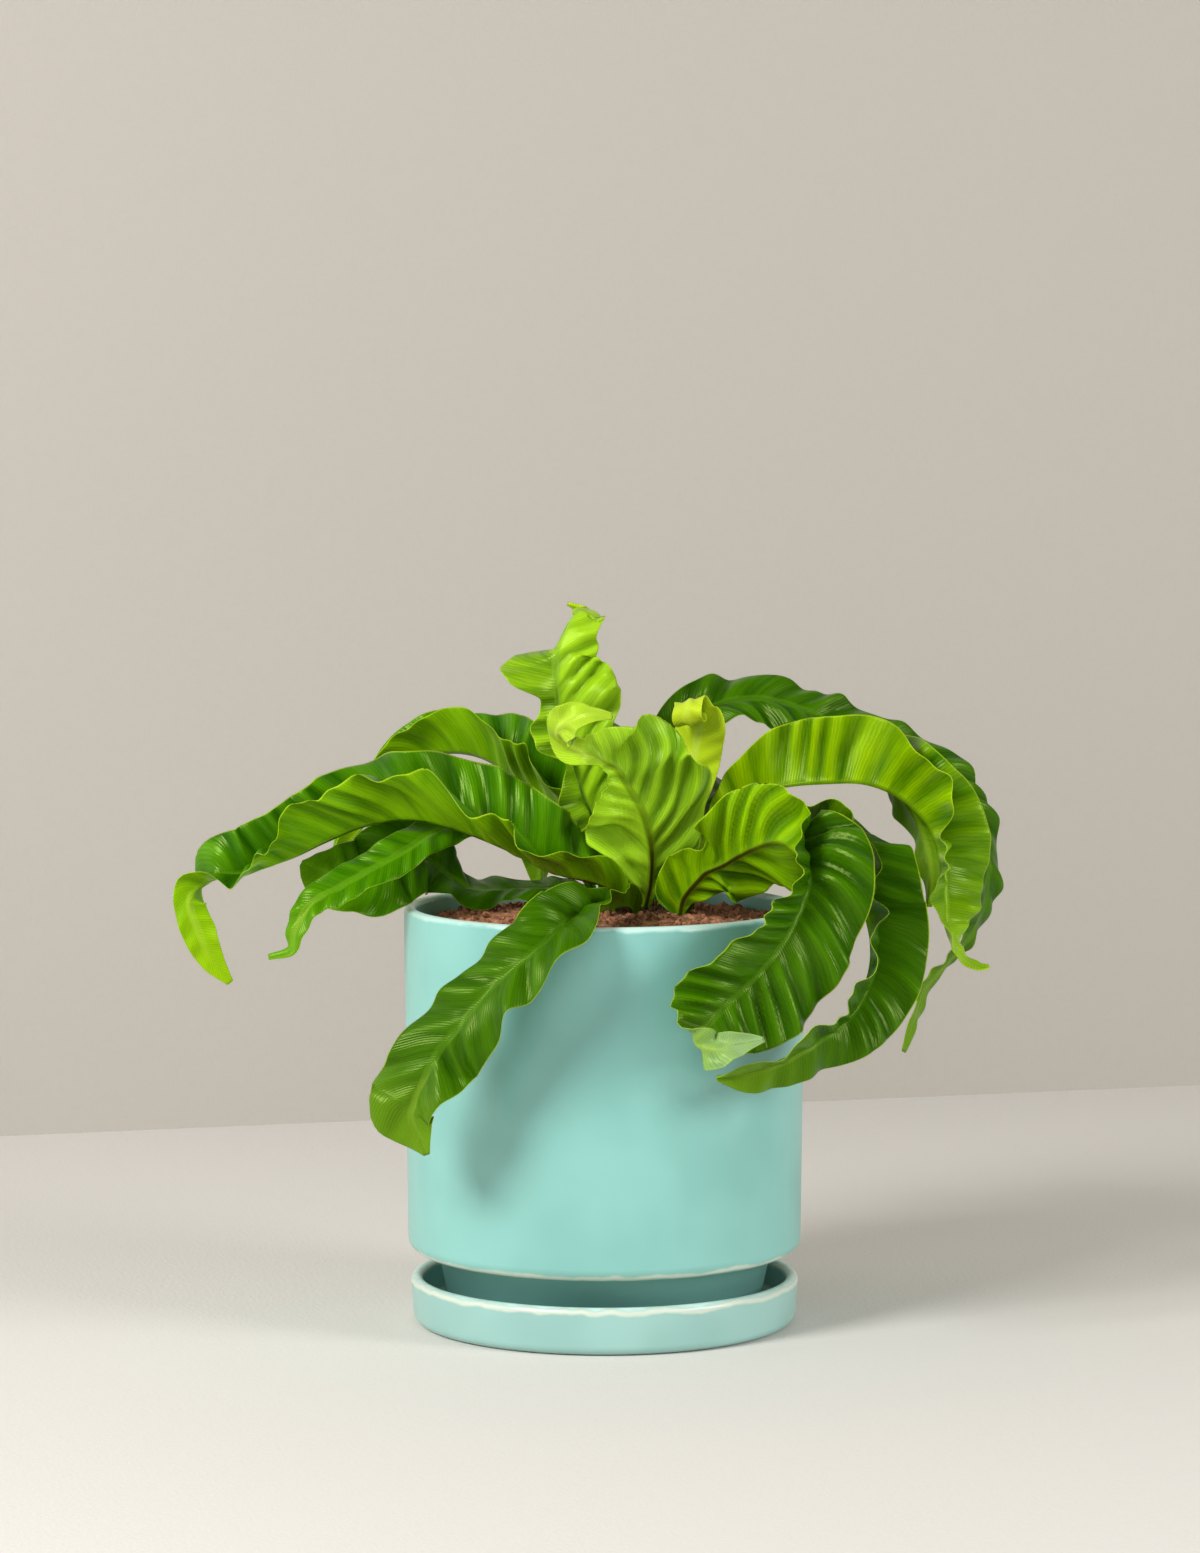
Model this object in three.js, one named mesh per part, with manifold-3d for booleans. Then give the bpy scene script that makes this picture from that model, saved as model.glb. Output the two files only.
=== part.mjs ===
// A hurricane bird's nest fern in a glazed round pot that stands on its saucer.
// Millimetres, +Z up. The origin is the middle of the saucer's flat underside.
import * as THREE from 'three';
import { mergeVertices } from 'three/addons/utils/BufferGeometryUtils.js';
import Module from 'manifold-3d';

const wasm = await Module();
wasm.setup();

// Pot and saucer, measured across and up
const GAP = 0.3;                 // running gap between pieces that touch
const SAUCER_RADIUS = 80;
const SAUCER_HEIGHT = 19.5;
const SAUCER_FLOOR = 6;          // height of the saucer's inner floor
const SAUCER_WALL = 5;
const POT_RIM_RADIUS = 82.5;
const POT_RIM_HEIGHT = 172.5;
const POT_EDGE_RADIUS = 81.1;    // at the rounded edge where the wall ends below
const POT_EDGE_HEIGHT = 30;      // underside of the wall, above the narrower foot
const POT_WALL = 5;
const FOOT_TOP_RADIUS = 69;
const FOOT_BOTTOM_RADIUS = 64;
const FOOT_FLOOR = 6;            // thickness of the pot's floor
const DRAIN_RADIUS = 7;
const ROUND_SEGMENTS = 48;

// Soil and rhizome
const SOIL_EDGE_HEIGHT = 165;    // where the soil meets the pot's wall
const SOIL_MOUND_HEIGHT = 170.5; // middle of the mound
const SOIL_SEGMENTS = 48;
const CROWN_X = 16;              // the plant stands a little right of the pot's axis
const CROWN_RADIUS = 24;
const CROWN_SHOULDER = 165;
const CROWN_TOP = 172;
const ROOT_BOTTOM = 96;
const CROWN_SEGMENTS = 24;
const SOCKET_CLEARANCE = 1;
const SOCKET_REACH = 16;         // how far a stalk's socket is cut outwards
const SOCKET_SIDES = 10;

// Fronds
const ROW_STEP = 5.2;            // spacing of a blade's cross-sections
const WAVE_LENGTH = 26;          // one ruffle of the margin
const WAVE_DEPTH = 0.15;         // ruffle height as a share of the blade's width to that side
const LEFT_PHASE = 2.1;          // the two margins don't ruffle together
const BLADE_THICKNESS = 0.9;
const STALK_THICKNESS = 3.2;
const STALK_EDGE = 1.6;
const STALK_LENGTH = 14;         // from the socket to where the blade is thin
const RIB_THICKNESS = 1.1;       // how far the midrib stands out below, at the base of the blade

// A frond is drawn by cross-sections from its base to its tip. Each row is
// [x, y, z, left width, right width, twist, fold], with the angles in degrees.
// Twist turns the blade about its midrib and lifts its right margin above the
// across direction, which points at that margin. Fold lifts both margins.
const FRONDS = [
  {
    name: 'frond_front_left',
    across: [-0.74, 0.67, 0],
    rows: [
      [12, -14.5, 164, 2.3, 2.3, 10, 0],
      [11, -18.5, 172, 3, 2.8, 10, 25],
      [8, -26, 174.5, 10, 5, 5, 55],
      [3, -37, 175, 12, 8, 10, 62],
      [-3, -54, 175.5, 11, 11, 10, 58],
      [-11, -72, 176, 14, 15, 15, 40],
      [-18, -90, 173, 15, 16, 25, 25],
      [-25, -97, 167, 15, 16, 20, 15],
      [-35, -99, 159, 16, 15, 20, 5],
      [-45, -99, 150, 16, 15, 10, 5],
      [-55, -99, 138, 17, 16, 20, 0],
      [-65, -98, 126, 18, 17, 30, -15],
      [-71, -97, 114, 15, 18, 15, 10],
      [-75, -96, 104, 12, 20, 10, 10],
      [-76, -95, 98, 10, 15, 20, 5],
      [-70, -95, 84, 1.5, 1.5, 20, 5],
    ],
  },
  {
    name: 'frond_long_left',
    across: [0, 1, 0],
    rows: [
      [3, -4, 164, 2.3, 2.3, 15, 0],
      [4, -8, 174, 3, 3, 15, 20],
      [3, -15, 180, 9, 8, 15, 50],
      [-6, -20, 184, 15, 17, 0, 60],
      [-22, -23, 188, 21, 25, 30, 55],
      [-40, -24, 197, 28, 28, 35, 55],
      [-61, -24, 206, 30, 30, 20, 50],
      [-80, -22, 209, 29, 29, 20, 70],
      [-97, -20, 207, 27, 27, 10, 55],
      [-113, -20, 200, 24, 24, 15, 75],
      [-128, -20, 193, 20, 22, 20, 70],
      [-145, -23, 188, 17, 19, 40, 50],
      [-159, -27, 186, 14, 16, 20, 20],
      [-168, -31, 178, 7, 7, -80, 5],
      [-164, -32, 164, 7, 7, -90, 0],
      [-159, -31, 153, 5, 5, -85, -5],
      [-152, -30, 144, 1.5, 1.5, -85, -5],
    ],
  },
  {
    name: 'frond_low_left',
    rows: [
      [-3, 0, 164, 2.3, 2.3, 55, 0],
      [-7, -2, 183, 2.6, 2.6, 55, 0],
      [-23, -4, 196, 5, 5, 55, 0],
      [-39, -4, 204, 6, 6, 55, 0],
      [-53, -7, 207, 7, 7, 55, 0],
      [-67, -13, 205, 9, 9, 55, 0],
      [-81, -22, 197, 9, 9, 60, 5],
      [-94, -28, 190, 9, 9, 55, 5],
      [-107, -32, 183, 8, 8, 55, 10],
      [-118, -35, 177, 7, 7, 60, 10],
      [-125, -36, 166, 5, 5, 45, 0],
      [-127, -36, 158, 3, 3, 45, 0],
      [-136, -35, 155, 1.5, 1.5, 45, 0],
    ],
  },
  {
    name: 'frond_rim_left',
    rows: [
      [2, 6, 164, 2.3, 2.3, 25, 0],
      [-7, 9, 178, 2.6, 2.6, 25, -2],
      [-23, 15, 178, 8, 8, 25, -5],
      [-39, 19, 177, 10, 10, 25, -5],
      [-54, 19, 177, 12, 12, 20, -10],
      [-64, 17, 182, 12, 12, 20, 5],
      [-72, 12, 189, 15, 15, 25, 5],
      [-79, 5, 191, 16, 16, 80, 15],
      [-88, -2, 189, 18, 18, 85, 5],
      [-96, -5, 184, 18, 18, 75, 5],
      [-105, -9, 184, 16, 16, 55, 5],
      [-113, -12, 186, 13, 13, 50, 0],
      [-120, -13, 189, 8, 8, 50, -5],
      [-124, -13, 191, 1.5, 1.5, 50, -5],
    ],
  },
  {
    name: 'frond_upper_left',
    across: [0, 1, 0],
    rows: [
      [2, 12, 164, 2.3, 2.3, 40, 0],
      [-4, 18, 187, 5, 5, 40, 32],
      [-14, 24, 203, 13, 13, 40, 65],
      [-25, 28, 214, 21, 21, 40, 65],
      [-39, 31, 223, 25, 25, 35, 65],
      [-53, 33, 231, 22, 22, 5, 55],
      [-67, 35, 232, 19, 19, -5, 70],
      [-79, 35, 228, 16, 16, 5, 70],
      [-87, 34, 219, 13, 13, 10, 75],
      [-95, 31, 208, 10, 10, 10, 75],
      [-105, 28, 196, 8, 8, 10, 75],
      [-113, 25, 187, 1.5, 1.5, 10, 75],
    ],
  },
  {
    name: 'frond_upright',
    across: [0.79, 0, -0.61],
    rows: [
      [11, 4, 164, 2.3, 2.3, -10, 0],
      [1, 6, 188, 4, 4, -11, 22],
      [-3, 6, 199, 8, 8, -11, 45],
      [-6, 5, 210, 12, 13, -31, 35],
      [-10, 3, 220, 13, 17, -31, 30],
      [-13, 2, 230, 8, 19, -36, 35],
      [-16, 1, 241, 16, 20, -26, 25],
      [-18, 0, 250, 13, 25, -21, 20],
      [-19.5, -2, 259, 8, 26, -20, 20],
      [-20, -3, 265, 19, 25, -10, 8],
      [-20, -3, 270, 23, 23, 0, 0],
      [-20, -3, 274, 18, 19, 8, -6],
      [-19.5, -3, 278.5, 7, 16.5, 50, -45],
      [-17, -2, 284.5, 4, 16, 60, -52],
      [-15, -1.5, 288.5, 3, 14, 62, -52],
      [-12, 0, 292.5, 3, 12, 62, -50],
      [-11, 3, 293.8, 2, 12, 30, -10],
      [-6.5, 8, 293.3, 1.5, 7, 15, 0],
      [-6.5, 11.5, 293.4, 1.2, 3.4, 10, 0],
      [-11, 13, 294.6, 1, 2.4, 10, 0],
      [-15.2, 13.5, 295.8, 0.6, 1, 10, 0],
    ],
  },
  {
    name: 'frond_centre_curled',
    across: [-0.5, 0, -0.85],
    rows: [
      [15, -7, 164, 2.3, 2.3, 25, 0],
      [18, -9, 178, 2.8, 2.8, 25, -5],
      [19, -15, 189, 10, 14, 27, -6],
      [19, -21, 199, 19, 24, 35, 5],
      [17, -26, 209, 26, 26, 27, 10],
      [14, -29, 217, 32, 26, 8, -4],
      [9, -31, 225, 29.5, 20, 6, -18],
      [5, -33, 231, 27.5, 9, -10, -15],
      [0, -36, 234, 20, 3, -10, -25],
      [-6, -42, 237, 10, 4, -45, -10],
      [-13, -47, 241, 7, 7, 25, -5],
      [-18, -53, 246, 7, 7, 80, 0],
      [-18, -60, 250, 8, 8, 130, 5],
      [-13, -65, 254, 7, 7, 165, -20],
      [-6, -67, 256, 5, 5, 230, -5],
      [3, -64, 255, 1.5, 1.5, 230, -5],
    ],
  },
  {
    name: 'frond_young_scroll',
    across: [0.9, -0.4, 0.1],
    rows: [
      [22, 3, 164, 2.3, 2.3, -15, 0],
      [28, 6, 186, 3, 3, -15, -5],
      [32, 6, 201, 5, 5, -15, -10],
      [34, 5, 215, 8, 8, -15, -10],
      [36, 4, 229, 11, 11, -5, -20],
      [38, 3, 240, 11, 11, -5, -15],
      [39, 1, 248, 11, 11, 0, -10],
      [37.5, 0, 253, 9, 8.5, 0, 0],
      [35.5, -4, 257, 7.5, 7, 0, 0],
      [34, -8, 255.5, 6.5, 6.5, 0, 0],
      [33.5, -9.5, 252, 6.5, 6.5, 0, 0],
      [34, -8, 248.5, 6.5, 6.5, 0, 0],
      [35.5, -5, 247.5, 6, 6.5, 0, 0],
      [36.5, -2.5, 249.5, 5.5, 6, 0, 0],
      [36.5, -2.5, 252, 4.5, 5, 0, 0],
    ],
  },
  {
    name: 'frond_right_front',
    across: [-0.5, -0.8, 0.3],
    rows: [
      [30, -10, 164, 2.3, 2.3, 35, 0],
      [30.5, -11.5, 169.5, 2.4, 2.4, 35, 0],
      [31, -12.5, 172.5, 3, 8, 35, 0],
      [32.5, -15, 177, 5, 13, 42, 2],
      [36, -19, 182, 9, 15, 50, 5],
      [38.5, -21, 185, 11.5, 16, 48, 5],
      [41, -23, 188, 15, 13, 42, 5],
      [44.5, -25, 190, 19, 9.5, 36, 5],
      [49, -26, 192, 22, 21, 30, 10],
      [55, -29, 196, 24, 24, 35, 5],
      [63, -34, 200, 25, 25, 45, 10],
      [70, -40, 202, 25, 25, 30, 35],
      [75, -47, 200, 20, 22, -5, 70],
      [79, -55, 197, 25, 20, -15, 65],
      [81, -62, 194, 27, 18, -20, 55],
      [81, -68, 189, 27, 17, -25, 40],
      [79, -74, 183, 26, 16, -20, 30],
      [75, -79, 175, 27, 16, -20, 25],
      [68, -85, 164, 28, 18, -25, 15],
      [57, -91, 152, 28, 20, -30, 15],
      [46, -96, 142, 23, 21, -45, 10],
      [38, -101, 134, 14, 16, -40, 0],
      [36, -107, 130, 9, 9, 10, 0],
      [43, -111, 128, 8, 8, 105, 15],
      [53, -109, 130, 5, 5, 80, -35],
      [62, -105, 131, 1.5, 1.5, 80, -35],
    ],
  },
  {
    name: 'frond_right_crescent',
    across: [0.14, -0.99, 0],
    rows: [
      [30, -2, 164, 2.3, 2.3, 30, 0],
      [42, -2, 183, 4, 4, 30, 18],
      [56, -5, 195, 7, 7, 30, 35],
      [73, -9, 203, 11, 11, 30, 35],
      [89, -14, 204, 16, 16, 15, 35],
      [98, -20, 201, 19, 19, -5, 35],
      [103, -27, 194, 22, 22, -35, 40],
      [105, -33, 185, 23, 23, -50, 50],
      [106, -39, 174, 24, 24, -45, 50],
      [108, -46, 163, 23, 23, -50, 45],
      [107, -55, 152, 21, 21, -55, 40],
      [102, -65, 141, 19, 19, -60, 35],
      [94, -74, 133, 16, 16, -60, 30],
      [82, -83, 126, 13, 13, -50, 20],
      [70, -88, 120, 11, 11, -50, 25],
      [57, -91, 116, 9, 9, -50, 25],
      [44, -91, 114, 1.5, 1.5, -50, 25],
    ],
  },
  {
    name: 'frond_bright_arch',
    across: [0, -1, 0],
    rows: [
      [34, 7, 164, 2.3, 2.3, 15, 0],
      [41, 9, 194, 3.5, 3.5, 15, 28],
      [49, 11, 208, 8, 8, 15, 55],
      [60, 10, 216, 16, 16, 15, 55],
      [74, 7, 220, 25, 25, 25, 70],
      [91, 3, 222, 28, 28, 25, 65],
      [107, 1, 222, 28, 28, 20, 65],
      [121, -2, 217, 25, 25, -15, 75],
      [133, -6, 206, 23, 23, -30, 65],
      [138, -10, 192, 21, 21, -35, 35],
      [139, -13, 178, 18, 18, -40, 25],
      [140, -15, 165, 11, 11, -35, 25],
      [145, -17, 154, 6, 6, -15, 5],
      [152, -19, 149, 4, 4, -15, 5],
      [157, -19, 149, 2, 2, -15, 5],
    ],
  },
  {
    name: 'frond_long_right',
    across: [0, -1, 0],
    rows: [
      [26, 9, 164, 2.3, 2.3, -50, 0],
      [26, 16, 193, 4, 4, -50, 18],
      [24, 22, 214, 7, 7, -50, 35],
      [26, 28, 232, 10, 10, -50, 35],
      [37, 34, 247, 13, 13, -50, 35],
      [55, 38, 254, 14, 14, -40, 5],
      [73, 42, 253, 14, 14, -40, 0],
      [94, 44, 245, 14, 14, -35, 10],
      [115, 44, 236, 14, 14, -35, 10],
      [134, 42, 228, 14, 14, -35, 5],
      [150, 38, 216, 14, 14, -30, 5],
      [158, 34, 198, 13, 13, -30, 0],
      [160, 30, 179, 11, 11, -30, 0],
      [155, 26, 161, 7, 7, -30, 0],
      [143, 22, 146, 5, 5, -30, 0],
      [133, 18, 135, 5, 5, -30, 0],
      [129, 14, 123, 5, 5, -30, 0],
      [124, 10, 110, 1.5, 1.5, -30, 0],
    ],
  },
  {
    name: 'frond_behind_right',
    rows: [
      [28, 14, 164, 2.3, 2.3, 0, 0],
      [40, 22, 194, 4, 4, 0, 12],
      [54, 30, 210, 8, 8, 0, 25],
      [73, 36, 221, 12, 12, 0, 25],
      [96, 37, 227, 14, 14, 0, 25],
      [115, 32, 222, 13, 13, 0, 25],
      [126, 25, 211, 12, 12, 0, 25],
      [133, 20, 196, 11, 11, 0, 25],
      [135, 15, 182, 7, 7, 0, 25],
      [134, 13, 170, 1.5, 1.5, 0, 25],
    ],
  },
  {
    name: 'frond_back_right',
    rows: [
      [19, 18, 164, 2.3, 2.3, 0, 0],
      [21, 28, 185, 4, 4, 0, 12],
      [34, 48, 202, 11, 11, 0, 25],
      [47, 70, 211, 17, 17, 0, 25],
      [57, 91, 210, 18, 18, 0, 25],
      [61, 107, 198, 16, 16, 0, 25],
      [61, 117, 182, 10, 10, 0, 25],
      [60, 122, 168, 1.5, 1.5, 0, 25],
    ],
  },
  {
    name: 'frond_back_centre',
    rows: [
      [12, 17, 164, 2.3, 2.3, 0, 0],
      [9, 28, 187, 4, 4, 0, 12],
      [12, 46, 209, 12, 12, 0, 25],
      [15, 68, 225, 19, 19, 0, 25],
      [20, 92, 229, 20, 20, 0, 25],
      [23, 114, 219, 17, 17, 0, 25],
      [25, 130, 201, 10, 10, 0, 25],
      [27, 138, 183, 1.5, 1.5, 0, 25],
    ],
  },
  {
    name: 'frond_back_left',
    rows: [
      [6, 15, 164, 2.3, 2.3, 0, 0],
      [1, 30, 187, 4, 4, 0, 12],
      [-8, 48, 204, 11, 11, 0, 25],
      [-16, 68, 214, 17, 17, 0, 25],
      [-22, 88, 214, 19, 19, 0, 25],
      [-26, 105, 202, 16, 16, 0, 25],
      [-27, 116, 182, 10, 10, 0, 25],
      [-28, 121, 163, 1.5, 1.5, 0, 25],
    ],
  },
];

const COLOURS = {
  glaze: 0xa9d3bf,
  soil: 0x6d4128,
  rhizome: 0x4a3826,
  leaf: 0x5f9a2a,
  youngLeaf: 0x9cc24a,
};

function material(colour, roughness) {
  return new THREE.MeshStandardMaterial({ color: colour, roughness, metalness: 0 });
}

function mesh(name, geometry, colour, roughness) {
  const piece = new THREE.Mesh(geometry, material(colour, roughness));
  piece.name = name;
  return piece;
}

// Points of a quarter or half circle in a turned profile, from one angle to another.
function arc(x, z, radius, from, to, steps) {
  const points = [];
  for (let i = 0; i <= steps; i += 1) {
    const angle = THREE.MathUtils.degToRad(from + (to - from) * i / steps);
    points.push(new THREE.Vector2(x + radius * Math.cos(angle), z + radius * Math.sin(angle)));
  }
  return points;
}

// A turned solid: the profile runs anticlockwise in the plane of radius and height.
function turned(profile, segments) {
  const points = profile.map((point) => (Array.isArray(point) ? new THREE.Vector2(...point) : point));
  const lathe = new THREE.LatheGeometry([...points, points[0]], segments);
  lathe.rotateX(Math.PI / 2);
  lathe.deleteAttribute('normal');
  lathe.deleteAttribute('uv');
  return withoutSlivers(mergeVertices(lathe, 1e-4));
}

// Drops the empty triangles that a turned profile leaves on its axis.
function withoutSlivers(geometry) {
  const index = geometry.index.array;
  const kept = [];
  for (let i = 0; i < index.length; i += 3) {
    const [a, b, c] = [index[i], index[i + 1], index[i + 2]];
    if (a !== b && b !== c && c !== a) {
      kept.push(a, b, c);
    }
  }
  geometry.setIndex(kept);
  return geometry;
}

function toSolid(geometry) {
  return new wasm.Manifold(new wasm.Mesh({
    numProp: 3,
    vertProperties: new Float32Array(geometry.attributes.position.array),
    triVerts: new Uint32Array(geometry.index.array),
  }));
}

function toGeometry(solid) {
  const { vertProperties, triVerts } = solid.getMesh();
  const geometry = new THREE.BufferGeometry();
  geometry.setAttribute('position', new THREE.BufferAttribute(vertProperties, 3));
  geometry.setIndex(new THREE.BufferAttribute(triVerts, 1));
  return geometry;
}

function makeSaucer() {
  const bottomRound = 4;
  const rim = SAUCER_WALL / 2;
  const inner = SAUCER_RADIUS - SAUCER_WALL;
  return turned([
    [0, 0],
    ...arc(SAUCER_RADIUS - 1 - bottomRound, bottomRound, bottomRound, -90, 0, 3),
    ...arc(SAUCER_RADIUS - rim, SAUCER_HEIGHT - rim, rim, 0, 180, 5),
    ...arc(inner - 3, SAUCER_FLOOR + 3, 3, 0, -90, 2),
    [0, SAUCER_FLOOR],
  ], ROUND_SEGMENTS);
}

// The inner wall of the pot, from its floor to just under the lip, set in by a gap.
function potInside(gap) {
  const floor = SAUCER_FLOOR + GAP + FOOT_FLOOR;
  return [
    [FOOT_BOTTOM_RADIUS - POT_WALL - gap, floor + gap],
    [FOOT_TOP_RADIUS - POT_WALL - gap, POT_EDGE_HEIGHT - 2 + gap],
    [POT_EDGE_RADIUS - POT_WALL - 3 - gap, POT_EDGE_HEIGHT + POT_WALL + gap],
    [POT_EDGE_RADIUS - POT_WALL - gap, POT_EDGE_HEIGHT + POT_WALL + 4 + gap],
  ];
}

function makePot() {
  const rest = SAUCER_FLOOR + GAP;
  const edgeRound = 5.5;
  const lip = POT_WALL / 2;
  return turned([
    [DRAIN_RADIUS, rest],
    [FOOT_BOTTOM_RADIUS - 1, rest],
    [FOOT_BOTTOM_RADIUS, rest + 1],
    [FOOT_TOP_RADIUS, POT_EDGE_HEIGHT],
    ...arc(POT_EDGE_RADIUS - edgeRound, POT_EDGE_HEIGHT + edgeRound, edgeRound, -90, 0, 4),
    ...arc(POT_RIM_RADIUS - lip, POT_RIM_HEIGHT - lip, lip, 0, 180, 6),
    ...potInside(0).reverse(),
    [DRAIN_RADIUS, rest + FOOT_FLOOR],
  ], ROUND_SEGMENTS);
}

function crownProfile(gap) {
  return [
    [0, ROOT_BOTTOM - gap],
    [9 + gap, ROOT_BOTTOM + 3 - gap],
    [16 + gap, ROOT_BOTTOM + 22 - gap],
    [CROWN_RADIUS - 3 + gap, ROOT_BOTTOM + 48 - gap],
    [CROWN_RADIUS + gap, CROWN_SHOULDER - 6],
    [CROWN_RADIUS + gap, CROWN_SHOULDER],
  ];
}

function makeSoil() {
  const wall = POT_EDGE_RADIUS - POT_WALL - GAP;
  const floor = potInside(GAP)[0][1];
  const mound = turned([
    [0, floor],
    ...potInside(GAP),
    [wall + 0.9, SOIL_EDGE_HEIGHT],
    [wall - 16, SOIL_EDGE_HEIGHT + 2.2],
    [wall - 38, SOIL_MOUND_HEIGHT - 1],
    [0, SOIL_MOUND_HEIGHT],
  ], SOIL_SEGMENTS);
  const hole = turned([...crownProfile(GAP), [CROWN_RADIUS + GAP, CROWN_TOP], [0, CROWN_TOP]], CROWN_SEGMENTS);
  hole.translate(CROWN_X, 0, 0);
  return toGeometry(toSolid(mound).subtract(toSolid(hole)));
}

// The hole in the rhizome that a frond's stalk stands in.
function socket(rows) {
  const base = new THREE.Vector3(...rows[0]);
  const out = new THREE.Vector3(...rows[1]).sub(base).normalize();
  const radius = rows[0][3] + SOCKET_CLEARANCE;
  const hole = new THREE.CylinderGeometry(radius + 0.8, radius, SOCKET_REACH, SOCKET_SIDES);
  hole.deleteAttribute('normal');
  hole.deleteAttribute('uv');
  hole.translate(0, SOCKET_REACH / 2 - GAP, 0);
  hole.applyQuaternion(new THREE.Quaternion().setFromUnitVectors(new THREE.Vector3(0, 1, 0), out));
  hole.translate(base.x, base.y, base.z);
  return toSolid(mergeVertices(hole, 1e-4));
}

function makeRhizome() {
  const dome = [60, 35, 15].map((angle) => {
    const turn = THREE.MathUtils.degToRad(90 - angle);
    const rise = CROWN_TOP - CROWN_SHOULDER;
    return [CROWN_RADIUS * Math.cos(turn), CROWN_SHOULDER + rise * Math.sin(turn)];
  });
  const body = turned([...crownProfile(0), ...dome, [0, CROWN_TOP]], CROWN_SEGMENTS);
  body.translate(CROWN_X, 0, 0);
  return toGeometry(FRONDS.reduce((solid, frond) => solid.subtract(socket(frond.rows)), toSolid(body)));
}

// The direction of a frond's right margin, level and square to its heading unless the frond gives its own.
function acrossOf({ across, rows: [[x, y]] }) {
  if (across) {
    return new THREE.Vector3(...across);
  }
  const heading = Math.atan2(y, x - CROWN_X);
  return new THREE.Vector3(Math.sin(heading), -Math.cos(heading), 0);
}

// One cross-section: three points on the upper face and three below, left to right.
function section(centre, along, across, { left, right, twist, fold }, distance) {
  const level = across.clone().addScaledVector(along, -across.dot(along)).normalize();
  const side = level.applyAxisAngle(along, -THREE.MathUtils.degToRad(twist));
  const up = new THREE.Vector3().crossVectors(side, along);
  const lift = THREE.MathUtils.degToRad(fold);
  const blade = THREE.MathUtils.smoothstep(distance, 0, STALK_LENGTH);
  const edge = THREE.MathUtils.lerp(STALK_EDGE, BLADE_THICKNESS, blade) / 2;
  const top = edge / Math.max(Math.cos(lift), 0.4);
  const rib = THREE.MathUtils.lerp(STALK_THICKNESS - 2 * edge, RIB_THICKNESS * (0.4 + left / 50), blade);
  const wave = 2 * Math.PI * distance / WAVE_LENGTH;
  const margin = (sign, width, phase) => {
    const outwards = side.clone().multiplyScalar(sign * Math.cos(lift)).addScaledVector(up, Math.sin(lift));
    const normal = up.clone().multiplyScalar(Math.cos(lift)).addScaledVector(side, -sign * Math.sin(lift));
    const ruffle = WAVE_DEPTH * width * blade * Math.sin(wave + phase);
    const middle = centre.clone().addScaledVector(outwards, width).addScaledVector(normal, ruffle);
    return [middle.clone().addScaledVector(normal, edge), middle.clone().addScaledVector(normal, -edge)];
  };
  const [leftTop, leftBottom] = margin(-1, left, LEFT_PHASE);
  const [rightTop, rightBottom] = margin(1, right, 0);
  const ribTop = centre.clone().addScaledVector(up, top);
  const ribBottom = centre.clone().addScaledVector(up, -top - rib);
  return [leftTop, ribTop, rightTop, leftBottom, ribBottom, rightBottom];
}

// Faces between the sections. Both faces of the blade are split along the same diagonals.
function skin(sections) {
  const size = 6;
  const faces = [];
  const quad = (a, b, c, d) => faces.push(a, b, c, a, c, d);
  for (let i = 0; i + 1 < sections; i += 1) {
    const here = i * size;
    const next = here + size;
    for (const j of [0, 1]) {
      quad(here + j, here + j + 1, next + j + 1, next + j);
      faces.push(here + 3 + j, next + 4 + j, here + 4 + j);
      faces.push(here + 3 + j, next + 3 + j, next + 4 + j);
    }
    quad(here, next, next + 3, here + 3);
    quad(here + 2, here + 5, next + 5, next + 2);
  }
  const last = (sections - 1) * size;
  for (const j of [0, 1]) {
    quad(j, 3 + j, 4 + j, 1 + j);
    quad(last + j, last + 1 + j, last + 4 + j, last + 3 + j);
  }
  return faces;
}

function makeFrond(frond) {
  const smooth = (points) => new THREE.CatmullRomCurve3(points, false, 'catmullrom', 0.5);
  const path = smooth(frond.rows.map(([x, y, z]) => new THREE.Vector3(x, y, z)));
  const widths = smooth(frond.rows.map(([, , , left, right]) => new THREE.Vector3(left, right)));
  const turns = smooth(frond.rows.map(([, , , , , twist, fold]) => new THREE.Vector3(twist, fold)));
  const length = path.getLength();
  const steps = Math.round(length / ROW_STEP);
  const across = acrossOf(frond);
  const points = [];
  for (let i = 0; i <= steps; i += 1) {
    const t = path.getUtoTmapping(i / steps);
    const { x: left, y: right } = widths.getPoint(t);
    const { x: twist, y: fold } = turns.getPoint(t);
    const shape = { left, right, twist, fold };
    points.push(...section(path.getPoint(t), path.getTangent(t), across, shape, length * i / steps));
  }
  const geometry = new THREE.BufferGeometry().setFromPoints(points);
  geometry.setIndex(skin(steps + 1));
  return geometry;
}

const plant = new THREE.Group();
plant.add(mesh('rhizome', makeRhizome(), COLOURS.rhizome, 0.95));
for (const frond of FRONDS) {
  const colour = frond.name === 'frond_young_scroll' ? COLOURS.youngLeaf : COLOURS.leaf;
  plant.add(mesh(frond.name, makeFrond(frond), colour, 0.4));
}

const fern = new THREE.Group();
fern.add(mesh('saucer', makeSaucer(), COLOURS.glaze, 0.3));
fern.add(mesh('pot', makePot(), COLOURS.glaze, 0.3));
fern.add(mesh('soil', makeSoil(), COLOURS.soil, 1));
fern.add(plant);

export default fern;
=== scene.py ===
# %% [markdown]
# A hurricane bird's nest fern in a glazed pot
#
# The real plant is a rosette of long, wavy, curling fronds on a short rhizome. It stands in a
# straight pot with a satin aqua glaze, on a shallow saucer of the same glaze.
# The exact solids of every piece come in first, as a fixed frame. Each is then replaced by a finer
# piece of the same form: turned clay, a crumbly soil, a scaly crown and sixteen pleated fronds.

# %% Load the frame
import math
import random

import bmesh
import bpy
import numpy as np
from mathutils import Matrix, Vector


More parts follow.
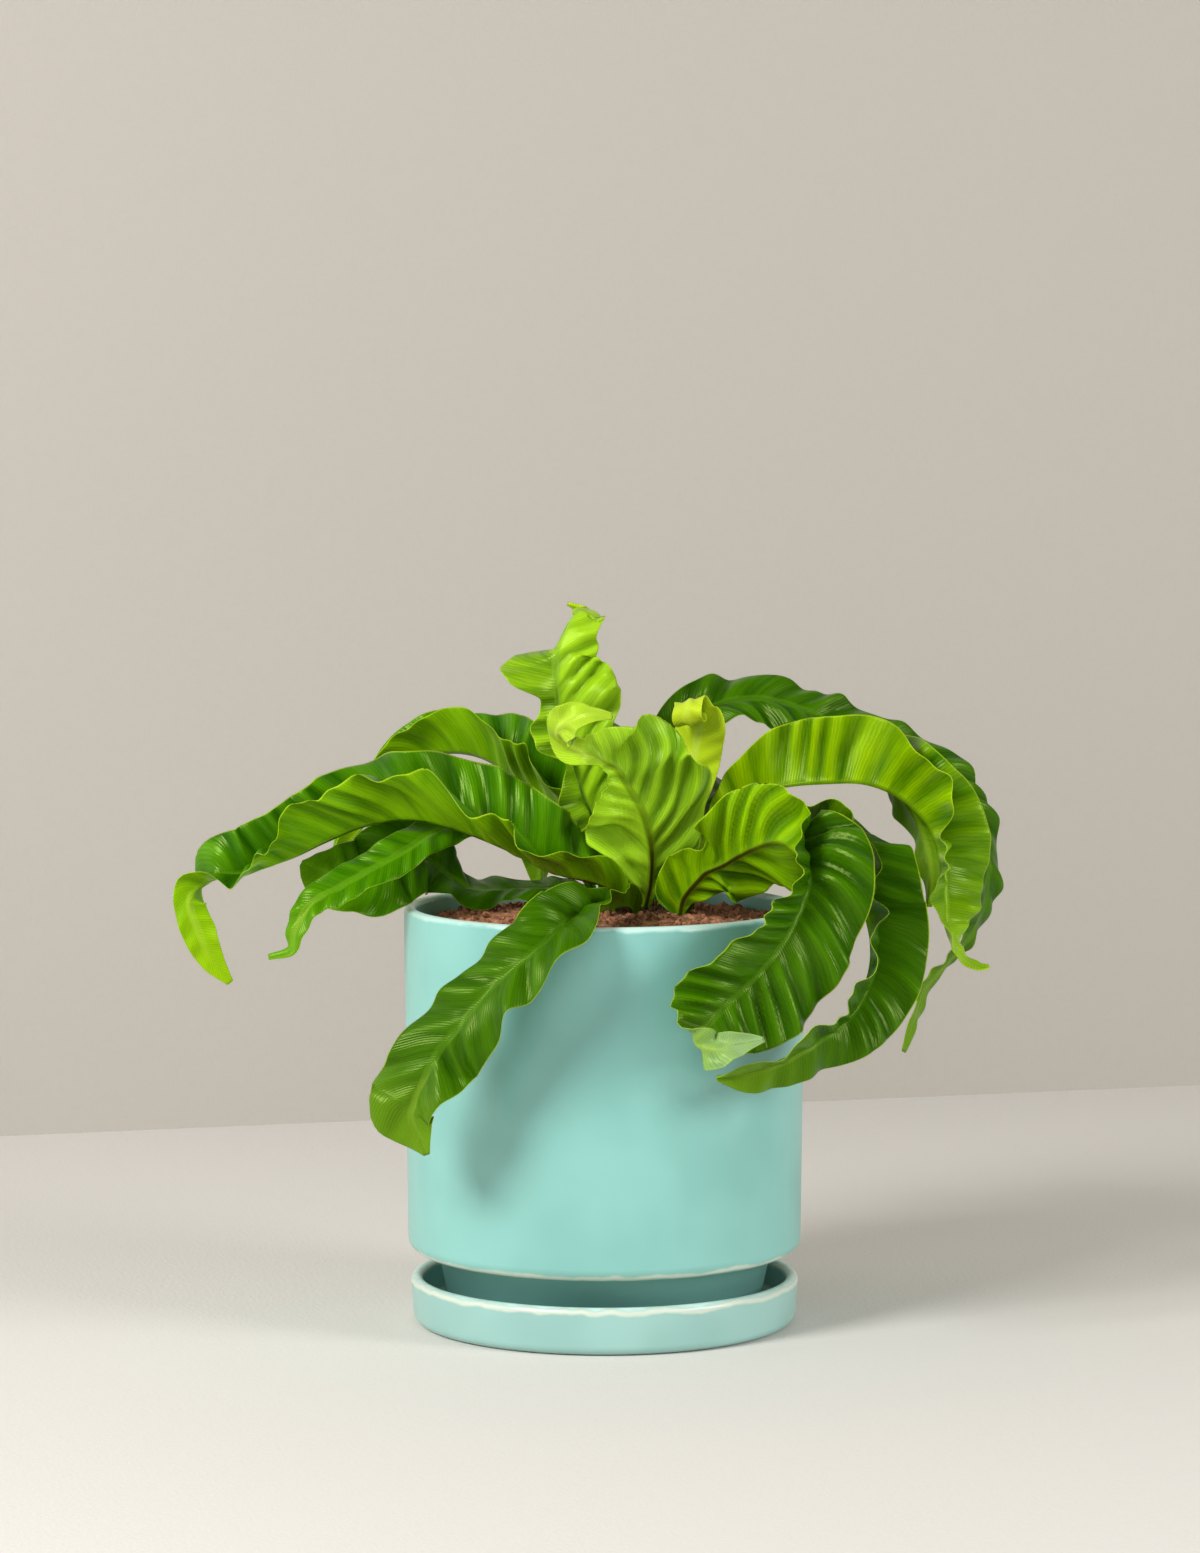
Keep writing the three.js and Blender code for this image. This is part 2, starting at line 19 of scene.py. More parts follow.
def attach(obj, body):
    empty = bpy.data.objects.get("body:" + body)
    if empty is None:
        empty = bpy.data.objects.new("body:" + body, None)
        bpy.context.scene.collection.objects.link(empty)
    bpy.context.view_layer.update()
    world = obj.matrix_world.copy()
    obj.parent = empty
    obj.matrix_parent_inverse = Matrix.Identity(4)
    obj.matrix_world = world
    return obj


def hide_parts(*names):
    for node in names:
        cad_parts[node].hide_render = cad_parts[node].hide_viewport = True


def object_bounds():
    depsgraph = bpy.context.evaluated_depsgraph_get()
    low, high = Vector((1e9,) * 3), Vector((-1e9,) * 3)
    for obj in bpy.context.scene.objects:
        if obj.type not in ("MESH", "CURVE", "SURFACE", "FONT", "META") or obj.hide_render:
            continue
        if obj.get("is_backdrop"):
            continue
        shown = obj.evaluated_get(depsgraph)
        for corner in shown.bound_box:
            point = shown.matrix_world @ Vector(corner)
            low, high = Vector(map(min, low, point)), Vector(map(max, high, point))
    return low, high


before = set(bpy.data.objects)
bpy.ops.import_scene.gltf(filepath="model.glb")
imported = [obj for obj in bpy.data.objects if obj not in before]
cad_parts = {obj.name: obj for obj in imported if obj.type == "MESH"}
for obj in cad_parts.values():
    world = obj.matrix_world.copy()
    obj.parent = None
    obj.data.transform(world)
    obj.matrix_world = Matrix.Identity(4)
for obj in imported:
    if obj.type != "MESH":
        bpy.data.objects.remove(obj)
cad_box = [list(map(float, corner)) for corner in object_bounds()]
MM = 0.001
print("nodes", len(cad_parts), "box", cad_box)

# %% [markdown]
# Shader maths as plain expressions
#
# A finish is easier to read as arithmetic than as a picture of nodes, so one small class wraps a
# socket and turns each operator into a Math node. A second class makes every other node from its
# type, its settings and its inputs, and keeps what is the same all over on the shader's own sockets.


# %% Expressions on sockets
class Value:
    """A number that changes over the surface."""

    def __init__(self, tree, socket):
        self.tree = tree
        self.socket = socket

    def maths(self, operation, *others, first=None):
        node = self.tree.nodes.new("ShaderNodeMath")
        node.operation = operation
        terms = [self, *others] if first is None else [first, self]
        for slot, term in zip(node.inputs, terms):
            if isinstance(term, Value):
                self.tree.links.new(term.socket, slot)
            else:
                slot.default_value = term
        return Value(self.tree, node.outputs[0])

    def __add__(self, other):
        return self.maths("ADD", other)

    __radd__ = __add__

    def __sub__(self, other):
        return self.maths("SUBTRACT", other)

    def __rsub__(self, other):
        return self.maths("SUBTRACT", first=other)

    def __mul__(self, other):
        return self.maths("MULTIPLY", other)

    def __abs__(self):
        return self.maths("ABSOLUTE")

    def sine(self):
        return self.maths("SINE")

    def ease(self, low, high):
        """0 at low, 1 at high and smooth between, the other way round where low is above high."""
        node = self.tree.nodes.new("ShaderNodeMapRange")
        node.interpolation_type = "SMOOTHSTEP"
        flip = low > high
        limits = (min(low, high), max(low, high), float(flip), float(not flip))
        for slot, number in zip(node.inputs[1:5], limits):
            slot.default_value = number
        self.tree.links.new(self.socket, node.inputs[0])
        return Value(self.tree, node.outputs[0])


class Finish:
    """One procedural material, with a maker of nodes."""

    def __init__(self, name, **fixed):
        self.material = bpy.data.materials.new(name)
        self.material.use_nodes = True
        self.tree = self.material.node_tree
        self.shader = self.tree.nodes["Principled BSDF"]
        for socket, number in fixed.items():
            self.shader.inputs[socket.replace("_", " ")].default_value = number

    def node(self, kind, settings=None, out=0, **inputs):
        node = self.tree.nodes.new("ShaderNode" + kind)
        for name, setting in (settings or {}).items():
            setattr(node, name, setting)
        for name, given in inputs.items():
            slot = node.inputs[int(name[1:]) if name[1:].isdigit() else name.replace("_", " ")]
            if isinstance(given, Value):
                self.tree.links.new(given.socket, slot)
            else:
                slot.default_value = given
        return Value(self.tree, node.outputs[out])

    def mix(self, share, low, high):
        settings = {"data_type": "RGBA", "clamp_factor": True}
        return self.node("Mix", settings, 2, _0=share, _6=low, _7=high)

    def place(self):
        return self.node("TexCoord", out=3)

    def split(self, vector):
        node = self.tree.nodes.new("ShaderNodeSeparateXYZ")
        self.tree.links.new(vector.socket, node.inputs[0])
        return [Value(self.tree, socket) for socket in node.outputs]

    def noise(self, where, scale, detail=3.0, roughness=0.5):
        return self.node("TexNoise", Vector=where, Scale=scale, Detail=detail, Roughness=roughness)

    def relief(self, height, distance, strength=1.0):
        return self.node("Bump", Height=height, Distance=distance, Strength=strength)

    def wear(self, **sockets):
        for name, given in sockets.items():
            self.tree.links.new(given.socket, self.shader.inputs[name.replace("_", " ")])
        return self.material


def tint(red, green, blue):
    """A colour written as it looks on screen, 0 to 255, turned into the light that it reflects."""
    steps = (channel / 255 for channel in (red, green, blue))
    return (*(s / 12.92 if s <= 0.04045 else ((s + 0.055) / 1.055) ** 2.4 for s in steps), 1.0)


# %% [markdown]
# Finished pieces
#
# Every mesh goes the same way: it is built in a bmesh at its true place in metres, its normals are
# turned outwards, and it rides on the part's one body in place of the solid that it stands for.


# %% Hand a mesh over
def finish_piece(name, bm, materials, replaced):
    bmesh.ops.recalc_face_normals(bm, faces=bm.faces)
    mesh = bpy.data.meshes.new(name)
    bm.to_mesh(mesh)
    bm.free()
    for polygon in mesh.polygons:
        polygon.use_smooth = True
    for material in materials:
        mesh.materials.append(material)
    piece = bpy.data.objects.new(name, mesh)
    bpy.context.collection.objects.link(piece)
    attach(piece, "root")
    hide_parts(replaced)
    triangles = sum(len(polygon.vertices) - 2 for polygon in mesh.polygons)
    print(name, triangles, "triangles")
    return piece


def arc(x, z, radius, start, end, steps):
    """Points of part of a circle in a turned profile, from one angle to another in degrees."""
    points = []
    for i in range(steps + 1):
        angle = math.radians(start + (end - start) * i / steps)
        points.append((x + radius * math.cos(angle), z + radius * math.sin(angle)))
    return points


def turned(profile, steps, closed=True):
    """Spins a profile of radius and height, in millimetres, about the pot's axis."""
    bm = bmesh.new()
    points = [bm.verts.new((radius * MM, 0, height * MM)) for radius, height in profile]
    edges = [bm.edges.new(pair) for pair in zip(points, points[1:])]
    if closed:
        edges.append(bm.edges.new((points[-1], points[0])))
    bmesh.ops.spin(
        bm,
        geom=points + edges,
        cent=(0, 0, 0),
        axis=(0, 0, 1),
        angle=math.tau,
        steps=steps,
        use_merge=True,
    )
    bmesh.ops.remove_doubles(bm, verts=bm.verts, dist=1e-6)
    return bm


def spot_at(radius, angle, height):
    """Moves a shape to a place given round the pot's axis, in millimetres."""
    reach = radius * MM
    return Matrix.Translation((reach * math.cos(angle), reach * math.sin(angle), height * MM))


# %% [markdown]
# The glaze
#
# The pot is stoneware under a satin aqua glaze. A glaze flows while it melts, so it is thinner and
# paler on the rims, along an uneven line, and its surface has faint clouds, a few darker flecks and
# a very slight orange-peel wave. A narrow line on each edge is worn to the warm cream of the clay.

# %% Make the glaze
POT_RIM_HEIGHT = 172.5
POT_EDGE_HEIGHT = 30
SAUCER_HEIGHT = 19.5
PALE_GLAZE = tint(205, 232, 222)
WORN_CLAY = tint(226, 224, 203)
DARK_FLECK = tint(120, 178, 162)


def glaze(name, rim, edge, dark, light):
    """A glaze that thins out near the rim's height and is worn at the edge's, in millimetres."""
    finish = Finish(name, Specular_IOR_Level=0.45, Coat_Weight=0.25, Coat_Roughness=0.25)
    place = finish.place()
    _, _, z = finish.split(place)
    cloud = finish.noise(place, 22.0, 2.0)
    speck = finish.noise(place, 420.0, 2.0, 0.6)
    aqua = finish.mix(cloud.ease(0.35, 0.65), dark, light)
    stretched = finish.node("Mapping", Vector=place, Scale=(1.0, 1.0, 0.25))
    drip = finish.noise(stretched, 90.0, 2.0)
    height = z + (drip - 0.5) * 0.004
    thin = height.ease((rim - 2.6) * MM, (rim - 0.8) * MM)
    pale = finish.mix(thin * 0.75, aqua, PALE_GLAZE)
    rub = abs(height - edge * MM).ease(0.0016, 0.0003)
    worn = finish.mix(rub * 0.65, pale, WORN_CLAY)
    fleck = finish.mix(speck.ease(0.72, 0.8) * 0.35, worn, DARK_FLECK)
    wave = finish.noise(place, 160.0, 2.0)
    bump = finish.relief(wave + speck * 0.25, 0.00012, 0.6)
    rough = 0.3 + cloud * 0.12
    return finish.wear(Base_Color=fleck, Roughness=rough, Normal=bump)


pot_glaze = glaze(
    "pot glaze",
    rim=POT_RIM_HEIGHT,
    edge=POT_EDGE_HEIGHT + 1.4,
    dark=tint(126, 184, 175),
    light=tint(134, 192, 183),
)
saucer_glaze = glaze(
    "saucer glaze",
    rim=SAUCER_HEIGHT + 1.2,
    edge=SAUCER_HEIGHT - 1.9,
    dark=tint(144, 186, 178),
    light=tint(152, 194, 186),
)

# %% [markdown]
# The saucer and the pot
#
# Both are round and hollow, so a profile spun once about the axis gives every wall at once, with a
# rounded lip, a floor and, on the pot, the narrower foot that stands in the saucer. The profiles
# use the same sizes as the solids, with more steps round every curve.

# %% Turn the saucer and the pot
GAP = 0.3
SAUCER_RADIUS = 80
SAUCER_FLOOR = 6
SAUCER_WALL = 5
POT_RIM_RADIUS = 82.5
POT_EDGE_RADIUS = 81.1
POT_WALL = 5
FOOT_TOP_RADIUS = 69
FOOT_BOTTOM_RADIUS = 64
FOOT_FLOOR = 6
DRAIN_RADIUS = 7
TURNING_STEPS = 144


def saucer_profile():
    base = 4
    cove = 3
    lip = SAUCER_WALL / 2
    inner = SAUCER_RADIUS - SAUCER_WALL
    return [
        (0, 0),
        *arc(SAUCER_RADIUS - 1 - base, base, base, -90, 0, 8),
        *arc(SAUCER_RADIUS - lip, SAUCER_HEIGHT - lip, lip, 0, 180, 14),
        *arc(inner - cove, SAUCER_FLOOR + cove, cove, 0, -90, 6),
        (0, SAUCER_FLOOR),
    ]


def pot_profile():
    rest = SAUCER_FLOOR + GAP
    edge = 5.5
    lip = POT_WALL / 2
    return [
        (DRAIN_RADIUS, rest),
        (FOOT_BOTTOM_RADIUS - 1, rest),
        (FOOT_BOTTOM_RADIUS, rest + 1),
        (FOOT_TOP_RADIUS, POT_EDGE_HEIGHT),
        *arc(POT_EDGE_RADIUS - edge, POT_EDGE_HEIGHT + edge, edge, -90, 0, 12),
        *arc(POT_RIM_RADIUS - lip, POT_RIM_HEIGHT - lip, lip, 0, 180, 16),
        (POT_EDGE_RADIUS - POT_WALL, POT_EDGE_HEIGHT + POT_WALL + 4),
        (POT_EDGE_RADIUS - POT_WALL - 3, POT_EDGE_HEIGHT + POT_WALL),
        (FOOT_TOP_RADIUS - POT_WALL, POT_EDGE_HEIGHT - 2),
        (FOOT_BOTTOM_RADIUS - POT_WALL, rest + FOOT_FLOOR),
        (DRAIN_RADIUS, rest + FOOT_FLOOR),
    ]


saucer_clay = turned(saucer_profile(), TURNING_STEPS, closed=False)
pot_clay = turned(pot_profile(), TURNING_STEPS)
finish_piece("saucer_turned", saucer_clay, [saucer_glaze], "saucer")
finish_piece("pot_turned", pot_clay, [pot_glaze], "pot")

# %% [markdown]
# The soil
#
# Potting mix is crumbs of bark, peat and a little grit, reddish brown and darker where damp. The
# mound is spun as the soil's own outline, its top is shifted up and down a little, and hundreds of
# small faceted crumbs are then laid on it, few-sided because there are so many.

# %% Make the soil
SOIL_EDGE_HEIGHT = 165
SOIL_MOUND_HEIGHT = 170.5
SOIL_RADIUS = POT_EDGE_RADIUS - POT_WALL - GAP
SOIL_BRIM = 0.9
CRUMBS = 900
CRUMB_SIZES = (0.7, 0.9, 1.1, 1.4, 1.9)


def soil_finish():
    finish = Finish("potting mix", Specular_IOR_Level=0.25, Roughness=0.95)
    place = finish.place()
    coarse = finish.noise(place, 260.0, 4.0, 0.65)
    patch = finish.noise(place, 900.0, 2.0)
    damp = finish.noise(place, 60.0, 2.0)
    brown = finish.mix(coarse.ease(0.32, 0.68), tint(106, 71, 50), tint(186, 127, 93))
    bark = finish.mix(patch.ease(0.55, 0.75) * 0.7, brown, tint(176, 128, 96))
    shade = finish.mix(damp.ease(0.5, 0.75) * 0.6, bark, tint(64, 42, 30))
    return finish.wear(Base_Color=shade, Normal=finish.relief(coarse + patch * 0.5, 0.0006))


def mound_height(radius):
    """Height of the soil's top at a distance from the pot's axis, in millimetres."""
    marks = [0, SOIL_RADIUS - 38, SOIL_RADIUS - 16, SOIL_RADIUS + SOIL_BRIM]
    heights = [SOIL_MOUND_HEIGHT, SOIL_MOUND_HEIGHT - 1, SOIL_EDGE_HEIGHT + 2.2, SOIL_EDGE_HEIGHT]
    return float(np.interp(radius, marks, heights))


def make_soil():
    floor = SAUCER_FLOOR + GAP + FOOT_FLOOR + GAP
    top = [(radius, mound_height(radius)) for radius in np.linspace(SOIL_RADIUS + SOIL_BRIM, 0, 40)]
    sides = [
        (0, floor),
        (FOOT_BOTTOM_RADIUS - POT_WALL - GAP, floor),
        (FOOT_TOP_RADIUS - POT_WALL - GAP, POT_EDGE_HEIGHT - 2 + GAP),
        (SOIL_RADIUS - 3, POT_EDGE_HEIGHT + POT_WALL + GAP),
        (SOIL_RADIUS, POT_EDGE_HEIGHT + POT_WALL + 4 + GAP),
    ]
    bm = turned(sides + top, 120, closed=False)
    chance = random.Random(4)
    for vertex in bm.verts:
        radius = math.hypot(vertex.co.x, vertex.co.y) / MM
        if vertex.co.z > (SOIL_EDGE_HEIGHT - 1) * MM and radius < SOIL_RADIUS - 1:
            vertex.co.z += chance.uniform(-0.9, 0.5) * MM
    for _ in range(CRUMBS):
        radius = (SOIL_RADIUS - 2) * math.sqrt(chance.random())
        angle = chance.uniform(0, math.tau)
        size = chance.choice(CRUMB_SIZES) * MM
        spot = spot_at(radius, angle, mound_height(radius) + chance.uniform(-0.3, 0.5))
        spin = chance.uniform(0, math.tau)
        axis = Vector([chance.gauss(0, 1) for _ in range(3)]).normalized()
        length = size * chance.uniform(0.7, 1.8)
        breadth = size * chance.uniform(0.6, 1.1)
        shape = Matrix.Diagonal((length, breadth, size * 0.7, 1.0))
        matrix = spot @ Matrix.Rotation(spin, 4, axis) @ shape
        made = bmesh.ops.create_icosphere(bm, subdivisions=1, radius=1.0, matrix=matrix)
        for vertex in made["verts"]:
            vertex.co += Vector([chance.uniform(-0.25, 0.25) * size for _ in range(3)])
    return bm


soil = finish_piece("soil_crumbs", make_soil(), [soil_finish()], "soil")
for polygon in soil.data.polygons:
    polygon.use_smooth = False

# %% [markdown]
# The crown
#
# The stalks come out of a short rhizome wrapped in dark brown scales. A domed body in the soil
# carries a few hundred pointed scales, which lie outwards round the stalks.

# %% Make the crown
CROWN = Vector((16, 0, 0)) * MM
CROWN_RADIUS = 24
CROWN_SHOULDER = 165
CROWN_TOP = 172
ROOT_BOTTOM = 96
CROWN_SCALES = 260


def crown_finish():
    finish = Finish("scaly crown", Specular_IOR_Level=0.2, Roughness=0.9)
    place = finish.place()
    grain = finish.noise(place, 700.0, 3.0, 0.6)
    brown = finish.mix(grain.ease(0.3, 0.7), tint(38, 26, 18), tint(104, 74, 48))
    return finish.wear(Base_Color=brown, Normal=finish.relief(grain, 0.0004))


def make_crown():
    rise = CROWN_TOP - CROWN_SHOULDER
    dome = []
    for slope in np.linspace(0, math.pi / 2, 9)[:-1]:
        dome.append((CROWN_RADIUS * math.cos(slope), CROWN_SHOULDER + rise * math.sin(slope)))
    sides = [
        (0, ROOT_BOTTOM),
        (9, ROOT_BOTTOM + 3),
        (16, ROOT_BOTTOM + 22),
        (CROWN_RADIUS - 3, ROOT_BOTTOM + 48),
        (CROWN_RADIUS, CROWN_SHOULDER - 6),
    ]
    bm = turned([*sides, *dome, (0, CROWN_TOP)], 64, closed=False)
    chance = random.Random(9)
    for _ in range(CROWN_SCALES):
        radius = (CROWN_RADIUS - 1) * math.sqrt(chance.random())
        angle = chance.uniform(0, math.tau)
        height = CROWN_SHOULDER + rise * math.sqrt(max(0.0, 1 - (radius / CROWN_RADIUS) ** 2))
        tilt = math.radians(chance.uniform(15, 70))
        lean = Matrix.Rotation(angle, 4, "Z") @ Matrix.Rotation(tilt, 4, "Y")
        flat = Matrix.Diagonal((0.4, 1.0, 1.0, 1.0))
        bmesh.ops.create_cone(
            bm,
            cap_ends=True,
            segments=4,
            radius1=0.8 * MM,
            radius2=0.05 * MM,
            depth=chance.uniform(2.2, 4.0) * MM,
            matrix=spot_at(radius, angle, height + 0.6) @ lean @ flat,
        )
    bmesh.ops.translate(bm, verts=bm.verts, vec=CROWN)
    return bm


finish_piece("rhizome_scales", make_crown(), [crown_finish()], "rhizome")

# %% [markdown]
# The fronds
#
# A frond is a strap with a strong midrib. Its two halves ruffle along their margins, and narrow
# pleats run from the midrib to the margin. Each one is drawn by the same cross-sections as its
# solid: a place, the width of each half, how far the blade twists about its midrib and how far it
# folds. Smooth curves run through them. Twist and fold are in degrees, and the rest in millimetres.

# %% The fronds' cross-sections
FRONDS = [
    ("frond_front_left", (-0.74, 0.67, 0), [
        (12, -14.5, 164, 2.3, 2.3, 10, 0),
        (11, -18.5, 172, 3, 2.8, 10, 25),
        (8, -26, 174.5, 10, 5, 5, 55),
        (3, -37, 175, 12, 8, 10, 62),
        (-3, -54, 175.5, 11, 11, 10, 58),
        (-11, -72, 176, 14, 15, 15, 40),
        (-18, -90, 173, 15, 16, 25, 25),
        (-25, -97, 167, 15, 16, 20, 15),
        (-35, -99, 159, 16, 15, 20, 5),
        (-45, -99, 150, 16, 15, 10, 5),
        (-55, -99, 138, 17, 16, 20, 0),
        (-65, -98, 126, 18, 17, 30, -15),
        (-71, -97, 114, 15, 18, 15, 10),
        (-75, -96, 104, 12, 20, 10, 10),
        (-76, -95, 98, 10, 15, 20, 5),
        (-70, -95, 84, 1.5, 1.5, 20, 5),
    ]),
    ("frond_long_left", (0, 1, 0), [
        (3, -4, 164, 2.3, 2.3, 15, 0),
        (4, -8, 174, 3, 3, 15, 20),
        (3, -15, 180, 9, 8, 15, 50),
        (-6, -20, 184, 15, 17, 0, 60),
        (-22, -23, 188, 21, 25, 30, 55),
        (-40, -24, 197, 28, 28, 35, 55),
        (-61, -24, 206, 30, 30, 20, 50),
        (-80, -22, 209, 29, 29, 20, 70),
        (-97, -20, 207, 27, 27, 10, 55),
        (-113, -20, 200, 24, 24, 15, 75),
        (-128, -20, 193, 20, 22, 20, 70),
        (-145, -23, 188, 17, 19, 40, 50),
        (-159, -27, 186, 14, 16, 20, 20),
        (-168, -31, 178, 7, 7, -80, 5),
        (-164, -32, 164, 7, 7, -90, 0),
        (-159, -31, 153, 5, 5, -85, -5),
        (-152, -30, 144, 1.5, 1.5, -85, -5),
    ]),
    ("frond_low_left", None, [
        (-3, 0, 164, 2.3, 2.3, 55, 0),
        (-7, -2, 183, 2.6, 2.6, 55, 0),
        (-23, -4, 196, 5, 5, 55, 0),
        (-39, -4, 204, 6, 6, 55, 0),
        (-53, -7, 207, 7, 7, 55, 0),
        (-67, -13, 205, 9, 9, 55, 0),
        (-81, -22, 197, 9, 9, 60, 5),
        (-94, -28, 190, 9, 9, 55, 5),
        (-107, -32, 183, 8, 8, 55, 10),
        (-118, -35, 177, 7, 7, 60, 10),
        (-125, -36, 166, 5, 5, 45, 0),
        (-127, -36, 158, 3, 3, 45, 0),
        (-136, -35, 155, 1.5, 1.5, 45, 0),
    ]),
    ("frond_rim_left", None, [
        (2, 6, 164, 2.3, 2.3, 25, 0),
        (-7, 9, 178, 2.6, 2.6, 25, -2),
        (-23, 15, 178, 8, 8, 25, -5),
        (-39, 19, 177, 10, 10, 25, -5),
        (-54, 19, 177, 12, 12, 20, -10),
        (-64, 17, 182, 12, 12, 20, 5),
        (-72, 12, 189, 15, 15, 25, 5),
        (-79, 5, 191, 16, 16, 80, 15),
        (-88, -2, 189, 18, 18, 85, 5),
        (-96, -5, 184, 18, 18, 75, 5),
        (-105, -9, 184, 16, 16, 55, 5),
        (-113, -12, 186, 13, 13, 50, 0),
        (-120, -13, 189, 8, 8, 50, -5),
        (-124, -13, 191, 1.5, 1.5, 50, -5),
    ]),
    ("frond_upper_left", (0, 1, 0), [
        (2, 12, 164, 2.3, 2.3, 40, 0),
        (-4, 18, 187, 5, 5, 40, 32),
        (-14, 24, 203, 13, 13, 40, 65),
        (-25, 28, 214, 21, 21, 40, 65),
        (-39, 31, 223, 25, 25, 35, 65),
        (-53, 33, 231, 22, 22, 5, 55),
        (-67, 35, 232, 19, 19, -5, 70),
        (-79, 35, 228, 16, 16, 5, 70),
        (-87, 34, 219, 13, 13, 10, 75),
        (-95, 31, 208, 10, 10, 10, 75),
        (-105, 28, 196, 8, 8, 10, 75),
        (-113, 25, 187, 1.5, 1.5, 10, 75),
    ]),
    ("frond_upright", (0.79, 0, -0.61), [
        (11, 4, 164, 2.3, 2.3, -10, 0),
        (1, 6, 188, 4, 4, -11, 22),
        (-3, 6, 199, 8, 8, -11, 45),
        (-6, 5, 210, 12, 13, -31, 35),
        (-10, 3, 220, 13, 17, -31, 30),
        (-13, 2, 230, 8, 19, -36, 35),
        (-16, 1, 241, 16, 20, -26, 25),
        (-18, 0, 250, 13, 25, -21, 20),
        (-19.5, -2, 259, 8, 26, -20, 20),
        (-20, -3, 265, 19, 25, -10, 8),
        (-20, -3, 270, 23, 23, 0, 0),
        (-20, -3, 274, 18, 19, 8, -6),
        (-19.5, -3, 278.5, 7, 16.5, 50, -45),
        (-17, -2, 284.5, 4, 16, 60, -52),
        (-15, -1.5, 288.5, 3, 14, 62, -52),
        (-12, 0, 292.5, 3, 12, 62, -50),
        (-11, 3, 293.8, 2, 12, 30, -10),
        (-6.5, 8, 293.3, 1.5, 7, 15, 0),
        (-6.5, 11.5, 293.4, 1.2, 3.4, 10, 0),
        (-11, 13, 294.6, 1, 2.4, 10, 0),
        (-15.2, 13.5, 295.8, 0.6, 1, 10, 0),
    ]),
    ("frond_centre_curled", (-0.5, 0, -0.85), [
        (15, -7, 164, 2.3, 2.3, 25, 0),
        (18, -9, 178, 2.8, 2.8, 25, -5),
        (19, -15, 189, 10, 14, 27, -6),
        (19, -21, 199, 19, 24, 35, 5),
        (17, -26, 209, 26, 26, 27, 10),
        (14, -29, 217, 32, 26, 8, -4),
        (9, -31, 225, 29.5, 20, 6, -18),
        (5, -33, 231, 27.5, 9, -10, -15),
        (0, -36, 234, 20, 3, -10, -25),
        (-6, -42, 237, 10, 4, -45, -10),
        (-13, -47, 241, 7, 7, 25, -5),
        (-18, -53, 246, 7, 7, 80, 0),
        (-18, -60, 250, 8, 8, 130, 5),
        (-13, -65, 254, 7, 7, 165, -20),
        (-6, -67, 256, 5, 5, 230, -5),
        (3, -64, 255, 1.5, 1.5, 230, -5),
    ]),
    ("frond_young_scroll", (0.9, -0.4, 0.1), [
        (22, 3, 164, 2.3, 2.3, -15, 0),
        (28, 6, 186, 3, 3, -15, -5),
        (32, 6, 201, 5, 5, -15, -10),
        (34, 5, 215, 8, 8, -15, -10),
        (36, 4, 229, 11, 11, -5, -20),
        (38, 3, 240, 11, 11, -5, -15),
        (39, 1, 248, 11, 11, 0, -10),
        (37.5, 0, 253, 9, 8.5, 0, 0),
        (35.5, -4, 257, 7.5, 7, 0, 0),
        (34, -8, 255.5, 6.5, 6.5, 0, 0),
        (33.5, -9.5, 252, 6.5, 6.5, 0, 0),
        (34, -8, 248.5, 6.5, 6.5, 0, 0),
        (35.5, -5, 247.5, 6, 6.5, 0, 0),
        (36.5, -2.5, 249.5, 5.5, 6, 0, 0),
        (36.5, -2.5, 252, 4.5, 5, 0, 0),
    ]),
    ("frond_right_front", (-0.5, -0.8, 0.3), [
        (30, -10, 164, 2.3, 2.3, 35, 0),
        (30.5, -11.5, 169.5, 2.4, 2.4, 35, 0),
        (31, -12.5, 172.5, 3, 8, 35, 0),
        (32.5, -15, 177, 5, 13, 42, 2),
        (36, -19, 182, 9, 15, 50, 5),
        (38.5, -21, 185, 11.5, 16, 48, 5),
        (41, -23, 188, 15, 13, 42, 5),
        (44.5, -25, 190, 19, 9.5, 36, 5),
        (49, -26, 192, 22, 21, 30, 10),
        (55, -29, 196, 24, 24, 35, 5),
        (63, -34, 200, 25, 25, 45, 10),
        (70, -40, 202, 25, 25, 30, 35),
        (75, -47, 200, 20, 22, -5, 70),
        (79, -55, 197, 25, 20, -15, 65),
        (81, -62, 194, 27, 18, -20, 55),
        (81, -68, 189, 27, 17, -25, 40),
        (79, -74, 183, 26, 16, -20, 30),
        (75, -79, 175, 27, 16, -20, 25),
        (68, -85, 164, 28, 18, -25, 15),
        (57, -91, 152, 28, 20, -30, 15),
        (46, -96, 142, 23, 21, -45, 10),
        (38, -101, 134, 14, 16, -40, 0),
        (36, -107, 130, 9, 9, 10, 0),
        (43, -111, 128, 8, 8, 105, 15),
        (53, -109, 130, 5, 5, 80, -35),
        (62, -105, 131, 1.5, 1.5, 80, -35),
    ]),
    ("frond_right_crescent", (0.14, -0.99, 0), [
        (30, -2, 164, 2.3, 2.3, 30, 0),
        (42, -2, 183, 4, 4, 30, 18),
        (56, -5, 195, 7, 7, 30, 35),
        (73, -9, 203, 11, 11, 30, 35),
        (89, -14, 204, 16, 16, 15, 35),
        (98, -20, 201, 19, 19, -5, 35),
        (103, -27, 194, 22, 22, -35, 40),
        (105, -33, 185, 23, 23, -50, 50),
        (106, -39, 174, 24, 24, -45, 50),
        (108, -46, 163, 23, 23, -50, 45),
        (107, -55, 152, 21, 21, -55, 40),
        (102, -65, 141, 19, 19, -60, 35),
        (94, -74, 133, 16, 16, -60, 30),
        (82, -83, 126, 13, 13, -50, 20),
        (70, -88, 120, 11, 11, -50, 25),
        (57, -91, 116, 9, 9, -50, 25),
        (44, -91, 114, 1.5, 1.5, -50, 25),
    ]),
    ("frond_bright_arch", (0, -1, 0), [
        (34, 7, 164, 2.3, 2.3, 15, 0),
        (41, 9, 194, 3.5, 3.5, 15, 28),
